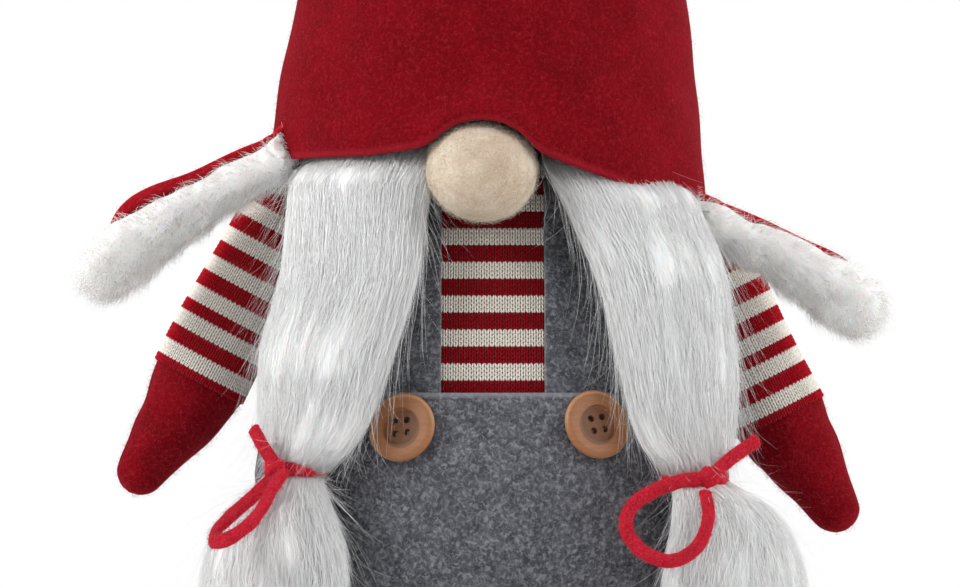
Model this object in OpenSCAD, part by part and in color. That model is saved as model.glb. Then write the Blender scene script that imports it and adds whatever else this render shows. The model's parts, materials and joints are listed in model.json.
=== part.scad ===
// Standing tomte girl: stuffed trunk in a striped sweater and felt dungarees,
// tall felt hat with plush ear flaps, ball nose and two tied fur pigtails.
// Millimetres, +Z up, the figure faces -Y, the origin is on the floor under the trunk.
// "left" and "right" are as seen by someone facing the figure: left is -X.

/* [Trunk] */
// Radius of the belly where it is widest
belly_r = 87; // [84:1:90]
// Height of the widest point of the belly
belly_z = 150; // [147:1:153]
// Height of the trunk's lowest point
trunk_bottom_z = 70; // [68:1:72]
// Height of the flat top of the trunk, inside the hat
trunk_top_z = 282; // [280:1:283]
// Radius that the trunk narrows to at the height of the hat's hem
neck_r = 42; // [40:1:44]
// Thickness of the knitted sweater
knit_t = 2; // [1.5:0.5:2.5]
// Thickness of the grey wool felt
felt_t = 2.5; // [2:0.5:3]

/* [Dungarees] */
// Height of the bib's top edge
bib_top_z = 180; // [178:1:182]
// Half width of the bib at its top edge
bib_half_w = 49; // [47:1:51]
// Height of the felt at the sides
side_top_z = 178; // [176:1:180]
// Height of the felt at the back
back_top_z = 200; // [196:1:204]
// Radius of the armhole curve beside the bib
armhole_r = 19; // [17:1:20]
// Half of the gap between the two straps
strap_gap_half = 18.5; // [17:0.5:20]
// Radius of a trouser leg
leg_r = 25; // [23:1:27]
// Distance of a leg from the middle
leg_x = 33; // [31:1:35]
// Height of the trouser hem
trouser_hem_z = 30; // [28:1:32]

/* [Buttons] */
// Radius of a wooden button
button_r = 12.5; // [11:0.5:13]
// Thickness of a button
button_t = 4; // [3.5:0.5:5]
// Radius of the sunk middle of a button
button_dish_r = 6.8; // [6:0.2:7.6]
// Radius of a thread hole
button_hole_r = 1.25; // [1:0.05:1.5]
// Distance between neighbouring thread holes
button_hole_pitch = 4.5; // [4:0.1:5]

/* [Hat] */
// Radius of the hat at its hem
hat_r = 76; // [75:1:78]
// Height of the hat's tip
hat_tip_z = 600; // [580:5:620]
// Height of the point where the hat bends
hat_bend_z = 470; // [460:2:480]
// Thickness of the red felt
hat_t = 3; // [2.5:0.5:3.5]
// Largest bend of the hat's tip each way, in degrees
hat_bend_angle = 35; // [20:1:36]

/* [Ear flaps] */
// Width of a flap near its end
flap_w = 34; // [30:1:36]
// Length of the left flap
flap_left_len = 80; // [76:1:84]
// Length of the right flap
flap_right_len = 72; // [68:1:76]
// Thickness of the plush lining
plush_t = 10; // [8:1:11]

/* [Nose] */
// Half width of the felted ball
nose_rx = 20; // [18:0.5:21]
// Half height of the felted ball
nose_rz = 18; // [17:0.5:19]

/* [Arms] */
// Radius of a sleeve
sleeve_r = 17.5; // [16:0.5:18]
// Length of a sleeve below the shoulder seam
sleeve_len = 72; // [68:1:76]
// Length of a mitten below the cuff
mitt_len = 49; // [44:1:52]
// Radius of the round end of a mitten
mitt_end_r = 7.5; // [7:0.5:9]

/* [Pigtails] */
// Radius of the hair where it is tied
hair_neck_r = 8.5; // [8:0.5:8.5]
// Fullness of the hair, as a share of the drawn width and depth
hair_fullness = 1; // [0.9:0.02:1]
// Diameter of the red tie cord
cord_d = 4; // [4:0.5:4.5]

/* [Boots] */
// Half width of a boot
boot_r = 22; // [20:0.5:22.4]
// Distance from the ankle to the middle of the toe cap
boot_toe = 34; // [30:1:38]
// Thickness of the sole
sole_t = 3; // [2:0.5:4]

/* [Hidden] */
$fn = 48;

LEFT = -1;
RIGHT = 1;

// Trunk outline: a power curve from the belly up to the neck, a superellipse below.
neck_z = 270;
shoulder_power = 1.35;
seat_power = 2.8;
seat_steps = 6;
waist_steps = 7;
far = 130;

// Buttons, as [x, z] on the bib.
button_place_left = [-31.5, 168];
button_place_right = [36, 169];
button_turn = 8;
glue_t = 0.5;
slope_step = 2;
glue_r = 4;

// Hat outline: radius hat_r * (1 - u^hat_power), u running from 0 at hat_base_z to 1 at the tip.
hat_base_z = 255;
hat_power = 1.5;
hat_steps = 12;
tip_r = 3;
socket_gap = 0.4;
socket_trim = 14;
ball_end = 14;
ball_steps = 8;
ball_to_cone = 6;
crown_low_z = 240;
wire_r = 1.2;
wire_end_gap = 6;
upper_wire_h = 90;
hem_front = [[-90, 266], [-44, 267], [-22, 270], [19, 267], [52, 255], [76, 248], [90, 246]];
hem_back = [[-90, 266], [90, 246]];

// Nose.
nose_place = [-4, -66, 260];
nose_gap = 1.5;

// Ear flap roots on the hat's hem, the slope of each flap and its turn towards the front.
flap_place_left = [-78.5, -22, 269];
flap_place_right = [78.5, -22, 247];
flap_slope_left = 29;
flap_slope_right = 27;
flap_turn_left = 30;
flap_turn_right = 36;
flap_root_half_w = 13;
plush_edge = 1.5;

// Shoulders and the way that each arm hangs.
shoulder_left = [-74, 12, 248];
shoulder_right = [74, 12, 236];
arm_spread_left = 28;
arm_spread_right = 26;
arm_knit_t = 1.5;
sleeve_cap = 9;
thread_r = 1.5;
thread_gap = 0.3;

// Hair, as rings round the trunk: [height, angle off straight ahead, distance from the
// middle, half width along the trunk, half depth]. The last ring is at the tie.
hair_rings_left = [[250, 44, 61, 23, 8], [232, 43, 73, 28, 11], [214, 43, 82, 29, 13],
    [196, 43, 90, 28, 13], [178, 42, 95, 23, 12], [165, 42, 98, 16, 10], [155, 43.5, 101, 8.5, 8.5]];
hair_rings_right = [[240, 48, 67, 24, 9], [226, 48, 77, 28, 12], [208, 48, 85, 28, 13],
    [190, 48, 92, 26, 13], [174, 47.5, 96, 21, 11], [161, 46.5, 98, 15, 10], [151, 45.5, 101, 8.5, 8.5]];
puff_rings_left = [[153, 43.5, 101, 8.5, 8.5], [149, 44, 101.5, 10, 10], [139, 45.5, 103, 19, 14],
    [125, 47, 103.5, 28, 16], [110, 48, 103.5, 31, 17], [95, 48.5, 103.5, 27, 16], [82, 48.5, 103, 17, 12],
    [75, 48.5, 102, 6, 5]];
puff_rings_right = [[149, 45.5, 101, 8.5, 8.5], [145, 47, 102.5, 11, 11], [135, 50.5, 105, 21, 15],
    [122, 53, 106, 29, 17], [107, 54, 106, 32, 17.5], [92, 54, 105.5, 28, 16], [80, 53, 104, 18, 12],
    [73, 52, 102, 6, 5]];
hair_sides = 16;
root_low_z = 263;
root_back_y = -16;

// Routes of the tie cords: from the free end, over the knot, round the bow and back.
tie_route_left = [[-85, -81, 168], [-81, -86, 161], [-77, -88, 154], [-82, -91, 147],
    [-90, -94, 140], [-97, -98, 133], [-98, -106, 129], [-91, -111, 131],
    [-83, -107, 138], [-78, -99, 147], [-74, -93, 153]];
tie_route_right = [[94, -78, 164], [85, -82, 158], [76, -87, 151], [68, -89, 150],
    [58, -92, 147], [49, -96, 141], [47, -99, 133], [53, -101, 125],
    [63, -102, 122], [72, -101, 127], [76, -97, 137], [75, -92, 146]];
tie_sides = 8;
tie_rings_per_step = 2;

// ---- Functions -------------------------------------------------------------

// Radius of the trunk at height z, with the surface moved in by inset.
function trunk_radius(z, inset) = belly_r - inset
    - (belly_r - neck_r) * pow((z - belly_z) / (neck_z - belly_z), shoulder_power);

// Closed outline of the trunk, from the lowest point up to the flat top.
function trunk_outline(inset) = concat(
    [for (i = [0:seat_steps]) let (t = 90 - 90 * i / seat_steps)
        [(belly_r - inset) * pow(max(0, cos(t)), 2 / seat_power),
         belly_z - (belly_z - trunk_bottom_z - inset) * pow(sin(t), 2 / seat_power)]],
    [for (i = [1:waist_steps]) let (z = belly_z + (trunk_top_z - belly_z) * i / waist_steps)
        [trunk_radius(z, inset), z]],
    [[0, trunk_top_z]]);

// Radius of the hat at height z, with the surface moved in by inset.
function hat_radius(z, inset) = max(tip_r / 2,
    hat_r * (1 - pow(max(0, z - hat_base_z) / (hat_tip_z - hat_base_z), hat_power)) - inset);

// Outline points of the hat between two heights.
function hat_wall(z0, z1, inset) = [for (i = [0:hat_steps])
    let (z = z0 + (z1 - z0) * i / hat_steps) [hat_radius(z, inset), z]];

// Point between b and c at t from 0 to 1 on a smooth curve that also heads from a and to d.
function curve_point(a, b, c, d, t) = 0.5 * (2 * b + (c - a) * t
    + (2 * a - 5 * b + 4 * c - d) * pow(t, 2) + (3 * b - a - 3 * c + d) * pow(t, 3));

// Smooth run of points through a route.
function smooth_route(p) = concat(
    [for (i = [0:len(p) - 2]) for (k = [0:tie_rings_per_step - 1])
        curve_point(p[max(0, i - 1)], p[i], p[i + 1], p[min(len(p) - 1, i + 2)],
            k / tie_rings_per_step)],
    [p[len(p) - 1]]);

function unit(v) = v / norm(v);

// Points of one ring of hair: an oval bent round the trunk's axis.
function hair_ring(r, side) = [for (k = [0:hair_sides - 1])
    let (a = 360 * k / hair_sides, reach = r[2] + hair_fullness * r[4] * sin(a),
         angle = r[1] + hair_fullness * r[3] * cos(a) / r[2] * 180 / PI)
    [side * reach * sin(angle), -reach * cos(angle), r[0]]];

// Middle of one ring of hair.
function ring_middle(r, side) = [side * r[2] * sin(r[1]), -r[2] * cos(r[1]), r[0]];

// Direction of a route at point i.
function heading(p, i) = unit(p[min(len(p) - 1, i + 1)] - p[max(0, i - 1)]);

// Sideways directions carried along the route without twist.
function carried(p, i) = i == 0
    ? unit(cross(heading(p, 0), [0, 0, 1]))
    : let (h = heading(p, i), v = carried(p, i - 1)) unit(v - (v * h) * h);

// ---- Helpers ---------------------------------------------------------------

// Closed skin over a list of rings that have the same number of points; turned says that
// the rings run the other way round.
module skin(rings, turned) {
    n = len(rings[0]);
    last = len(rings) - 1;
    points = [for (ring = rings) for (p = ring) p];
    sides = [for (i = [0:last - 1]) for (k = [0:n - 1]) let (m = (k + 1) % n)
        [i * n + k, (i + 1) * n + k, (i + 1) * n + m, i * n + m]];
    caps = [[for (k = [0:n - 1]) k], [for (k = [n - 1:-1:0]) last * n + k]];
    faces = concat(sides, caps);
    polyhedron(points, turned ? [for (f = faces) [for (k = [len(f) - 1:-1:0]) f[k]]] : faces);
}

// Solid of the trunk with its surface moved in by inset.
module trunk_solid(inset) {
    rotate_extrude($fn = 96) polygon(trunk_outline(inset));
}

// Felt layer over the sweater.
module felt_layer() {
    difference() {
        trunk_solid(0);
        trunk_solid(felt_t);
    }
}

// Block in front of (side -1) or behind (side 1) the middle plane with a given outline in X and Z.
module slab(outline, side) {
    translate([0, side < 0 ? 0 : far, 0]) rotate([90, 0, 0]) linear_extrude(far) polygon(outline);
}

// Outline of one strap, mirrored by side; foot_z is where it meets the bib or the back.
function strap_outline(side, foot_z) = let (top_z = 274) [
    [side * strap_gap_half, foot_z], [side * bib_half_w, foot_z],
    [side * (bib_half_w - 3), 204], [side * (bib_half_w - 11), 226],
    [side * (bib_half_w - 20), 245], [side * (bib_half_w - 24), top_z],
    [side * strap_gap_half, top_z]];

module strap(side, foot_z, facing) {
    intersection() {
        felt_layer();
        slab(strap_outline(side, foot_z), facing);
    }
}

// Puts a shape made on the XY plane flat on the bib at [x, z], off the felt by lift.
module on_bib(place, lift) {
    radius = place[1] > belly_z ? trunk_radius(place[1], 0) : belly_r;
    turn = asin(place[0] / radius);
    rise = trunk_radius(place[1] - slope_step, 0) - trunk_radius(place[1] + slope_step, 0);
    lean = atan(rise / (2 * slope_step));
    translate([0, 0, place[1]]) rotate([0, 0, turn]) translate([0, -radius, 0])
        rotate([90 - lean, 0, 0]) translate([0, 0, lift]) children();
}

// Four-hole wooden button with a rounded rim and a sunk middle.
module button() {
    rim = button_t / 2;
    difference() {
        rotate_extrude() {
            square([button_r - rim, button_t]);
            translate([button_r - rim, rim]) circle(rim);
        }
        translate([0, 0, button_t - 1.2]) cylinder(h = far, r = button_dish_r);
        rotate([0, 0, button_turn])
            for (sx = [-1, 1])
                for (sy = [-1, 1])
                    translate([sx * button_hole_pitch / 2, sy * button_hole_pitch / 2, -1])
                        cylinder(h = far, r = button_hole_r, $fn = 24);
    }
}

// Full cone of the hat below the bend, from height z0 up.
module crown_solid(z0, inset) {
    shoulder_z = hat_bend_z - bend_r() * sin(hat_bend_angle - socket_trim);
    rotate_extrude($fn = 96) polygon(concat([[0, z0]], hat_wall(z0, shoulder_z, inset), [[0, shoulder_z]]));
}

// Radius of the ball on which the tip turns.
function bend_r() = hat_radius(hat_bend_z, 0);

// Length of the wire inside the lower part of the hat.
function wire_length() = hat_bend_z - bend_r() - wire_end_gap - trunk_top_z;

// Solid of the hat's tip: a ball with a cone on it.
module point_solid(inset) {
    cone_z = hat_bend_z + bend_r() * sin(ball_end) + ball_to_cone;
    rotate_extrude($fn = 96) polygon(concat(
        [for (i = [0:ball_steps]) let (t = -90 + (90 + ball_end) * i / ball_steps)
            (bend_r() - inset) * [max(0, cos(t)), sin(t)] + [0, hat_bend_z]],
        [for (p = hat_wall(cone_z, hat_tip_z - tip_r - inset, inset)) p],
        [[0, hat_tip_z - inset]]));
}

module bend_socket() {
    translate([0, 0, hat_bend_z]) sphere(r = bend_r() + socket_gap, $fn = 96);
}

// Everything below the hem, with the arch over the nose.
module below_hem() {
    low = 200;
    slab(concat(hem_front, [[90, low], [-90, low]]), -1);
    slab(concat(hem_back, [[90, low], [-90, low]]), 1);
    translate([nose_place[0], 0, nose_place[2]]) rotate([90, 0, 0])
        cylinder(h = far, r = nose_rx + nose_gap);
}

// Plan of an ear flap along +X, widened by grow.
module flap_plan(length, grow) {
    end_r = flap_w / 2 + grow;
    polygon(concat([[0, -flap_root_half_w - grow]],
        [for (t = [-90:15:90]) [length - end_r + end_r * cos(t), end_r * sin(t)]],
        [[0, flap_root_half_w + grow]]));
}

module place_flap(side) {
    place = side == LEFT ? flap_place_left : flap_place_right;
    slope = side == LEFT ? flap_slope_left : flap_slope_right;
    turn = side == LEFT ? flap_turn_left : flap_turn_right;
    translate(place) mirror([side == LEFT ? 1 : 0, 0, 0]) rotate([0, slope, 0]) rotate([-turn, 0, 0])
        children();
}

function flap_len(side) = side == LEFT ? flap_left_len : flap_right_len;

module earflap_felt(side) {
    place_flap(side) linear_extrude(hat_t - 0.5) flap_plan(flap_len(side), 0);
}

module earflap_fur(side) {
    place_flap(side) translate([0, 0, -plush_t]) linear_extrude(plush_t)
        flap_plan(flap_len(side) + plush_edge, plush_edge);
}

// Arms are made hanging along -Z from the shoulder.
module place_arm(side) {
    place = side == LEFT ? shoulder_left : shoulder_right;
    spread = side == LEFT ? arm_spread_left : arm_spread_right;
    translate(place) rotate([0, -side * spread, 0]) children();
}

// Outline of the rounded sleeve, moved in by inset.
function sleeve_outline(inset) = let (r = sleeve_r - inset, top = sleeve_cap - inset) concat(
    [[0, top]],
    [for (i = [1:5]) let (t = 18 * i) [r * sin(t), top - 24 * (1 - cos(t))]],
    [[sleeve_r + 1 - inset, -sleeve_len], [0, -sleeve_len]]);

// Outline of the mitten from the cuff to its round end, moved in by inset.
function mitt_outline(inset) = let (end_r = mitt_end_r - inset,
    end_z = -sleeve_len - mitt_len + mitt_end_r) concat(
    [[0, -sleeve_len], [sleeve_r + 0.5 - inset, -sleeve_len], [sleeve_r - inset, -sleeve_len - 12]],
    [for (i = [0:5]) let (t = 8 + 82 * i / 5) [end_r * cos(t), end_z - end_r * sin(t)]]);

module sleeve(side) {
    difference() {
        place_arm(side) difference() {
            rotate_extrude() polygon(sleeve_outline(0));
            rotate_extrude() polygon(sleeve_outline(arm_knit_t));
        }
        thread_run(side, thread_r + thread_gap);
    }
}

module mitt(side) {
    place_arm(side) difference() {
        rotate_extrude() polygon(mitt_outline(0));
        rotate_extrude() polygon(mitt_outline(arm_knit_t + 0.5));
    }
}

module arm_fill(side) {
    difference() {
        place_arm(side) {
            rotate_extrude() polygon(sleeve_outline(arm_knit_t));
            rotate_extrude() polygon(mitt_outline(arm_knit_t + 0.5));
        }
        thread_run(side, thread_r + thread_gap);
    }
}

// Straight run of the strong thread that holds an arm to the trunk, along X.
module thread_run(side, r) {
    place = side == LEFT ? shoulder_left : shoulder_right;
    reach = abs(place[0]);
    translate([side * reach, place[1], place[2]]) rotate([0, -side * 90, 0])
        cylinder(h = reach - 38, r = r, $fn = 24);
}

module hair(rings, side) {
    skin([for (r = rings) hair_ring(r, side)], side == LEFT);
}

// Strip of fur backing sewn under the hem on one side of the nose.
module hair_root(side) {
    root_h = 13;
    outer_r = hat_r - hat_t - 2;
    intersection() {
        difference() {
            translate([0, 0, root_low_z]) cylinder(h = root_h, r = outer_r, $fn = 96);
            translate([0, 0, root_low_z - 1]) cylinder(h = root_h + 2, r = 50, $fn = 96);
        }
        translate([side < 0 ? -far : nose_place[0] + nose_rx + nose_gap, -far, root_low_z])
            cube([far + (side < 0 ? nose_place[0] - nose_rx - nose_gap : 0), far + root_back_y, root_h]);
    }
}

// Ring of cord round the tied hair.
module tie_band(rings, side) {
    translate(ring_middle(rings[len(rings) - 1], side) - [0, 0, 1]) rotate_extrude()
        translate([hair_neck_r + cord_d / 2 + 0.1, 0]) circle(cord_d / 2);
}

// Lump of the knot in front of the ring.
module tie_knot(route) {
    translate(route[2]) sphere(r = cord_d, $fn = 32);
}

// Tube swept along a route.
module tie_cord(route) {
    path = smooth_route(route);
    skin([for (i = [0:len(path) - 1]) let (h = heading(path, i), v = carried(path, i))
        [for (k = [0:tie_sides - 1]) let (a = 360 * k / tie_sides)
            path[i] + cord_d / 2 * (cos(a) * v + sin(a) * cross(h, v))]], false);
}

// Upper of one boot: a heel dome and a toe dome blended, with a shaft.
module boot(side) {
    toe_h = 25;
    heel_h = 26;
    translate([side * leg_x, 0, sole_t]) {
        hull() {
            rotate_extrude($fn = 32) polygon([[0, 0], [boot_r - 1, 0], [boot_r, 5],
                [boot_r - 3, heel_h - 6], [boot_r - 9, heel_h], [0, heel_h]]);
            translate([0, -boot_toe, 0]) rotate_extrude($fn = 32) polygon([[0, 0], [boot_r - 1, 0],
                [boot_r, 6], [boot_r * 0.86, toe_h * 0.7], [boot_r * 0.5, toe_h * 0.95], [0, toe_h]]);
        }
        cylinder(h = trouser_hem_z + 8 - sole_t, r = boot_r - 2);
    }
}

module sole(side) {
    translate([side * leg_x, 0, 0]) linear_extrude(sole_t) {
        circle(boot_r - 1);
        translate([0, -boot_toe]) circle(boot_r - 1);
        translate([1 - boot_r, -boot_toe]) square([2 * boot_r - 2, boot_toe]);
    }
}

module trouser_leg(side) {
    difference() {
        translate([side * leg_x, 0, trouser_hem_z]) difference() {
            cylinder(h = 70, r = leg_r);
            translate([0, 0, -1]) cylinder(h = 80, r = leg_r - felt_t);
        }
        trunk_solid(0);
    }
}

module leg_fill(side) {
    difference() {
        translate([side * leg_x, 0, trouser_hem_z + 8]) cylinder(h = 60, r = leg_r - felt_t);
        trunk_solid(0);
    }
}

module bag_solid() {
    translate([0, 0, 108]) scale([1, 1, 0.5]) sphere(r = 52, $fn = 64);
}

// ---- Nodes -----------------------------------------------------------------

module body_fill() {
    color("ivory") difference() {
        trunk_solid(felt_t + knit_t);
        bag_solid();
        thread_run(LEFT, thread_r);
        thread_run(RIGHT, thread_r);
    }
}

module pellet_bag() {
    color("lightgray") bag_solid();
}

module sweater() {
    color("firebrick") difference() {
        trunk_solid(felt_t);
        trunk_solid(felt_t + knit_t);
        thread_run(LEFT, thread_r);
        thread_run(RIGHT, thread_r);
    }
}

module dungarees() {
    color("slategray") difference() {
        intersection() {
            felt_layer();
            union() {
                translate([-far, -far, 0]) cube([2 * far, 2 * far, side_top_z]);
                translate([-bib_half_w, -far, 0]) cube([2 * bib_half_w, far, bib_top_z]);
                translate([-bib_half_w - 4, 0, 0]) cube([2 * bib_half_w + 8, far, back_top_z]);
            }
        }
        for (side = [LEFT, RIGHT])
            translate([side * (bib_half_w + armhole_r), -20, side_top_z - 6]) rotate([90, 0, 0])
                cylinder(h = far, r = armhole_r);
    }
}

module strap_front_left() {
    color("slategray") strap(LEFT, bib_top_z, -1);
}

module strap_front_right() {
    color("slategray") strap(RIGHT, bib_top_z, -1);
}

module strap_back_left() {
    color("slategray") strap(LEFT, back_top_z, 1);
}

module strap_back_right() {
    color("slategray") strap(RIGHT, back_top_z, 1);
}

module button_left() {
    color("peru") on_bib(button_place_left, glue_t) button();
}

module button_right() {
    color("peru") on_bib(button_place_right, glue_t) button();
}

module button_glue() {
    color("wheat") for (place = [button_place_left, button_place_right])
        on_bib(place, 0) cylinder(h = glue_t, r = glue_r);
}

module nose() {
    color("tan") difference() {
        translate(nose_place) scale([nose_rx, nose_rx, nose_rz]) sphere(r = 1, $fn = 64);
        trunk_solid(0);
    }
}

module hair_root_left() {
    color("white") hair_root(LEFT);
}

module hair_root_right() {
    color("white") hair_root(RIGHT);
}

module shoulder_thread_left() {
    color("gray") thread_run(LEFT, thread_r);
}

module shoulder_thread_right() {
    color("gray") thread_run(RIGHT, thread_r);
}

module trouser_leg_left() {
    color("slategray") trouser_leg(LEFT);
}

module trouser_leg_right() {
    color("slategray") trouser_leg(RIGHT);
}

module leg_fill_left() {
    color("ivory") leg_fill(LEFT);
}

module leg_fill_right() {
    color("ivory") leg_fill(RIGHT);
}

module boot_left() {
    color("darkred") boot(LEFT);
}

module boot_right() {
    color("darkred") boot(RIGHT);
}

module sole_left() {
    color("dimgray") sole(LEFT);
}

module sole_right() {
    color("dimgray") sole(RIGHT);
}

module hat_crown() {
    color("crimson") difference() {
        crown_solid(crown_low_z, 0);
        crown_solid(crown_low_z, hat_t);
        bend_socket();
        below_hem();
    }
}

module hat_fill() {
    color("ivory") difference() {
        crown_solid(crown_low_z, hat_t);
        translate([-far, -far, crown_low_z - 1]) cube([2 * far, 2 * far, trunk_top_z - crown_low_z + 1]);
        bend_socket();
        translate([0, 0, trunk_top_z]) cylinder(h = wire_length(), r = wire_r, $fn = 24);
    }
}

module hat_wire_lower() {
    color("silver") translate([0, 0, trunk_top_z]) cylinder(h = wire_length(), r = wire_r, $fn = 24);
}

module hat_point() {
    color("crimson") difference() {
        point_solid(0);
        point_solid(hat_t);
    }
}

module hat_point_fill() {
    color("ivory") difference() {
        point_solid(hat_t);
        translate([0, 0, hat_bend_z]) cylinder(h = upper_wire_h, r = wire_r, $fn = 24);
    }
}

module hat_wire_upper() {
    color("silver") translate([0, 0, hat_bend_z]) cylinder(h = upper_wire_h, r = wire_r, $fn = 24);
}

module earflap_felt_left() {
    color("crimson") earflap_felt(LEFT);
}

module earflap_fur_left() {
    color("whitesmoke") earflap_fur(LEFT);
}

module earflap_felt_right() {
    color("crimson") earflap_felt(RIGHT);
}

module earflap_fur_right() {
    color("whitesmoke") earflap_fur(RIGHT);
}

module sleeve_left() {
    color("mistyrose") sleeve(LEFT);
}

module mitt_left() {
    color("crimson") mitt(LEFT);
}

module arm_fill_left() {
    color("ivory") arm_fill(LEFT);
}

module sleeve_right() {
    color("mistyrose") sleeve(RIGHT);
}

module mitt_right() {
    color("crimson") mitt(RIGHT);
}

module arm_fill_right() {
    color("ivory") arm_fill(RIGHT);
}

module pigtail_left() {
    color("white") hair(hair_rings_left, LEFT);
}

module puff_left() {
    color("white") hair(puff_rings_left, LEFT);
}

module tie_band_left() {
    color("red") tie_band(hair_rings_left, LEFT);
}

module tie_knot_left() {
    color("red") tie_knot(tie_route_left);
}

module tie_left() {
    color("red") tie_cord(tie_route_left);
}

module pigtail_right() {
    color("white") hair(hair_rings_right, RIGHT);
}

module puff_right() {
    color("white") hair(puff_rings_right, RIGHT);
}

module tie_band_right() {
    color("red") tie_band(hair_rings_right, RIGHT);
}

module tie_knot_right() {
    color("red") tie_knot(tie_route_right);
}

module tie_right() {
    color("red") tie_cord(tie_route_right);
}

body_fill();
pellet_bag();
sweater();
dungarees();
strap_front_left();
strap_front_right();
strap_back_left();
strap_back_right();
button_left();
button_right();
button_glue();
nose();
hair_root_left();
hair_root_right();
shoulder_thread_left();
shoulder_thread_right();
trouser_leg_left();
trouser_leg_right();
leg_fill_left();
leg_fill_right();
boot_left();
boot_right();
sole_left();
sole_right();
hat_crown();
hat_fill();
hat_wire_lower();
hat_point();
hat_point_fill();
hat_wire_upper();
earflap_felt_left();
earflap_fur_left();
earflap_felt_right();
earflap_fur_right();
sleeve_left();
mitt_left();
arm_fill_left();
sleeve_right();
mitt_right();
arm_fill_right();
pigtail_left();
puff_left();
tie_band_left();
tie_knot_left();
tie_left();
pigtail_right();
puff_right();
tie_band_right();
tie_knot_right();
tie_right();
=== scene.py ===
"""Looks of a stuffed felt gnome girl: tall hat, ball nose, striped knit, tied fur pigtails.

Everything is in metres, +Z up, and the figure faces -Y. Left is -X, as seen from the front.
"""

import sys

import functools
import json
import logging
import math
from collections.abc import Sequence
from dataclasses import dataclass, replace
from enum import Enum
from typing import Any

import bpy
import numpy as np
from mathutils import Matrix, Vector


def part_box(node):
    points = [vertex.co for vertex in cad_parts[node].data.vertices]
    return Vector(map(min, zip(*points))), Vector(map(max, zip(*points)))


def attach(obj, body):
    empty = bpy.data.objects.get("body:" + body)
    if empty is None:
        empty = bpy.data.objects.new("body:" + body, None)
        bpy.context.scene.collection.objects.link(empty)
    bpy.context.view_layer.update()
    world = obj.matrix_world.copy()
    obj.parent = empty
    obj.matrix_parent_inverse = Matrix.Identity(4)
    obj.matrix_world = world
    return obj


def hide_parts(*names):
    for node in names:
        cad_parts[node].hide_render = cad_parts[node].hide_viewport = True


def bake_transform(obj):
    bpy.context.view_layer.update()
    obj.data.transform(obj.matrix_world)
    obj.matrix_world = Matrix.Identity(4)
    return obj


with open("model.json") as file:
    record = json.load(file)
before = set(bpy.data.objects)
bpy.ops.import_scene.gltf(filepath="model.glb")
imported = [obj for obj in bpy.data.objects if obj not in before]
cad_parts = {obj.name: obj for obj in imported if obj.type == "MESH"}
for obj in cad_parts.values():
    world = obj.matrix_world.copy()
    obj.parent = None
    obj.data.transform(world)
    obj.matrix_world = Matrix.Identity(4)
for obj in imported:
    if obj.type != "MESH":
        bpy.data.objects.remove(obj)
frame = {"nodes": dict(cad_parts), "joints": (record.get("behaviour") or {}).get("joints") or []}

Array = np.ndarray
Colour = tuple[float, float, float]
LOG = logging.getLogger("gnome")
MM = 0.001
ROUND = 2 * math.pi
WALE = 0.00185
PITCH = 0.0121
COURSES = 8
COURSE = PITCH / COURSES
LEG_X = 0.033


class Tagged(Enum):
    """Named options whose names also stand in the names of pieces."""

    @property
    def tag(self) -> str:
        """The name in lower case."""
        return self.name.lower()


class Side(Tagged):
    """The figure's two sides, as a sign along X."""

    LEFT = -1
    RIGHT = 1


class Facing(Tagged):
    """Front or back of the trunk, as a sign along Y."""

    FRONT = -1
    BACK = 1


def joint_place(name: str) -> tuple[float, float, float]:
    """Where a joint of the record turns."""
    return tuple(next(j["pos_m"] for j in frame["joints"] if j["name"] == name))


def middle_of(node: str) -> Array:
    """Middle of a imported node's box."""
    low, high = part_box(node)
    return (np.array(low) + np.array(high)) / 2


# ---- Numbers and meshes ----------------------------------------------------


def unit(vectors: Array) -> Array:
    """Vectors scaled to length one."""
    return vectors / np.maximum(np.linalg.norm(vectors, axis=-1, keepdims=True), 1e-12)


def ease(values: Array, low: float, high: float) -> Array:
    """Smooth step from 0 at low to 1 at high: 3t² - 2t³."""
    t = np.clip((np.asarray(values, float) - low) / (high - low), 0, 1)
    return t * t * (3 - 2 * t)


def circle(count: int) -> Array:
    """Angles spaced evenly once round."""
    return np.arange(count) / count * ROUND


def squared(wave: Array, power: float) -> Array:
    """A sine or cosine made fuller or sharper: its sign times its size to the power."""
    return np.sign(wave) * np.abs(wave) ** power


def spun(reach: Array, turn: Array, height: Array) -> Array:
    """Points at a distance from the upright axis, an angle from +X and a height."""
    return np.stack(np.broadcast_arrays(reach * np.cos(turn), reach * np.sin(turn), height), -1)


def faced(reach: Array, angle: Array, height: Array) -> Array:
    """Points at a distance from the upright axis, an angle off straight ahead and a height."""
    return np.stack(np.broadcast_arrays(reach * np.sin(angle), -reach * np.cos(angle), height), -1)


def outward(points: Array, normals: Array) -> Array:
    """How far normals look away from the upright axis, from -1 to 1."""
    return (unit(points * [1, 1, 0]) * normals).sum(-1)


def ripple(points: Array, size: float, seed: int, waves: int = 9) -> Array:
    """Smooth noise from -1 to 1: the mean of sines of the place along seeded directions.

    Args:
        points: Places, with the three coordinates last.
        size: Length of a wave.
        seed: Seed of the directions and phases.
        waves: How many sines are added.

    Returns:
        One number for each place.
    """
    rng = np.random.default_rng(seed)
    heading = unit(rng.normal(size=(waves, 3))) * ROUND / size
    phase = rng.uniform(0, ROUND, waves)
    return np.sin(points @ heading.T + phase).sum(-1) / math.sqrt(waves * 2)


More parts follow.
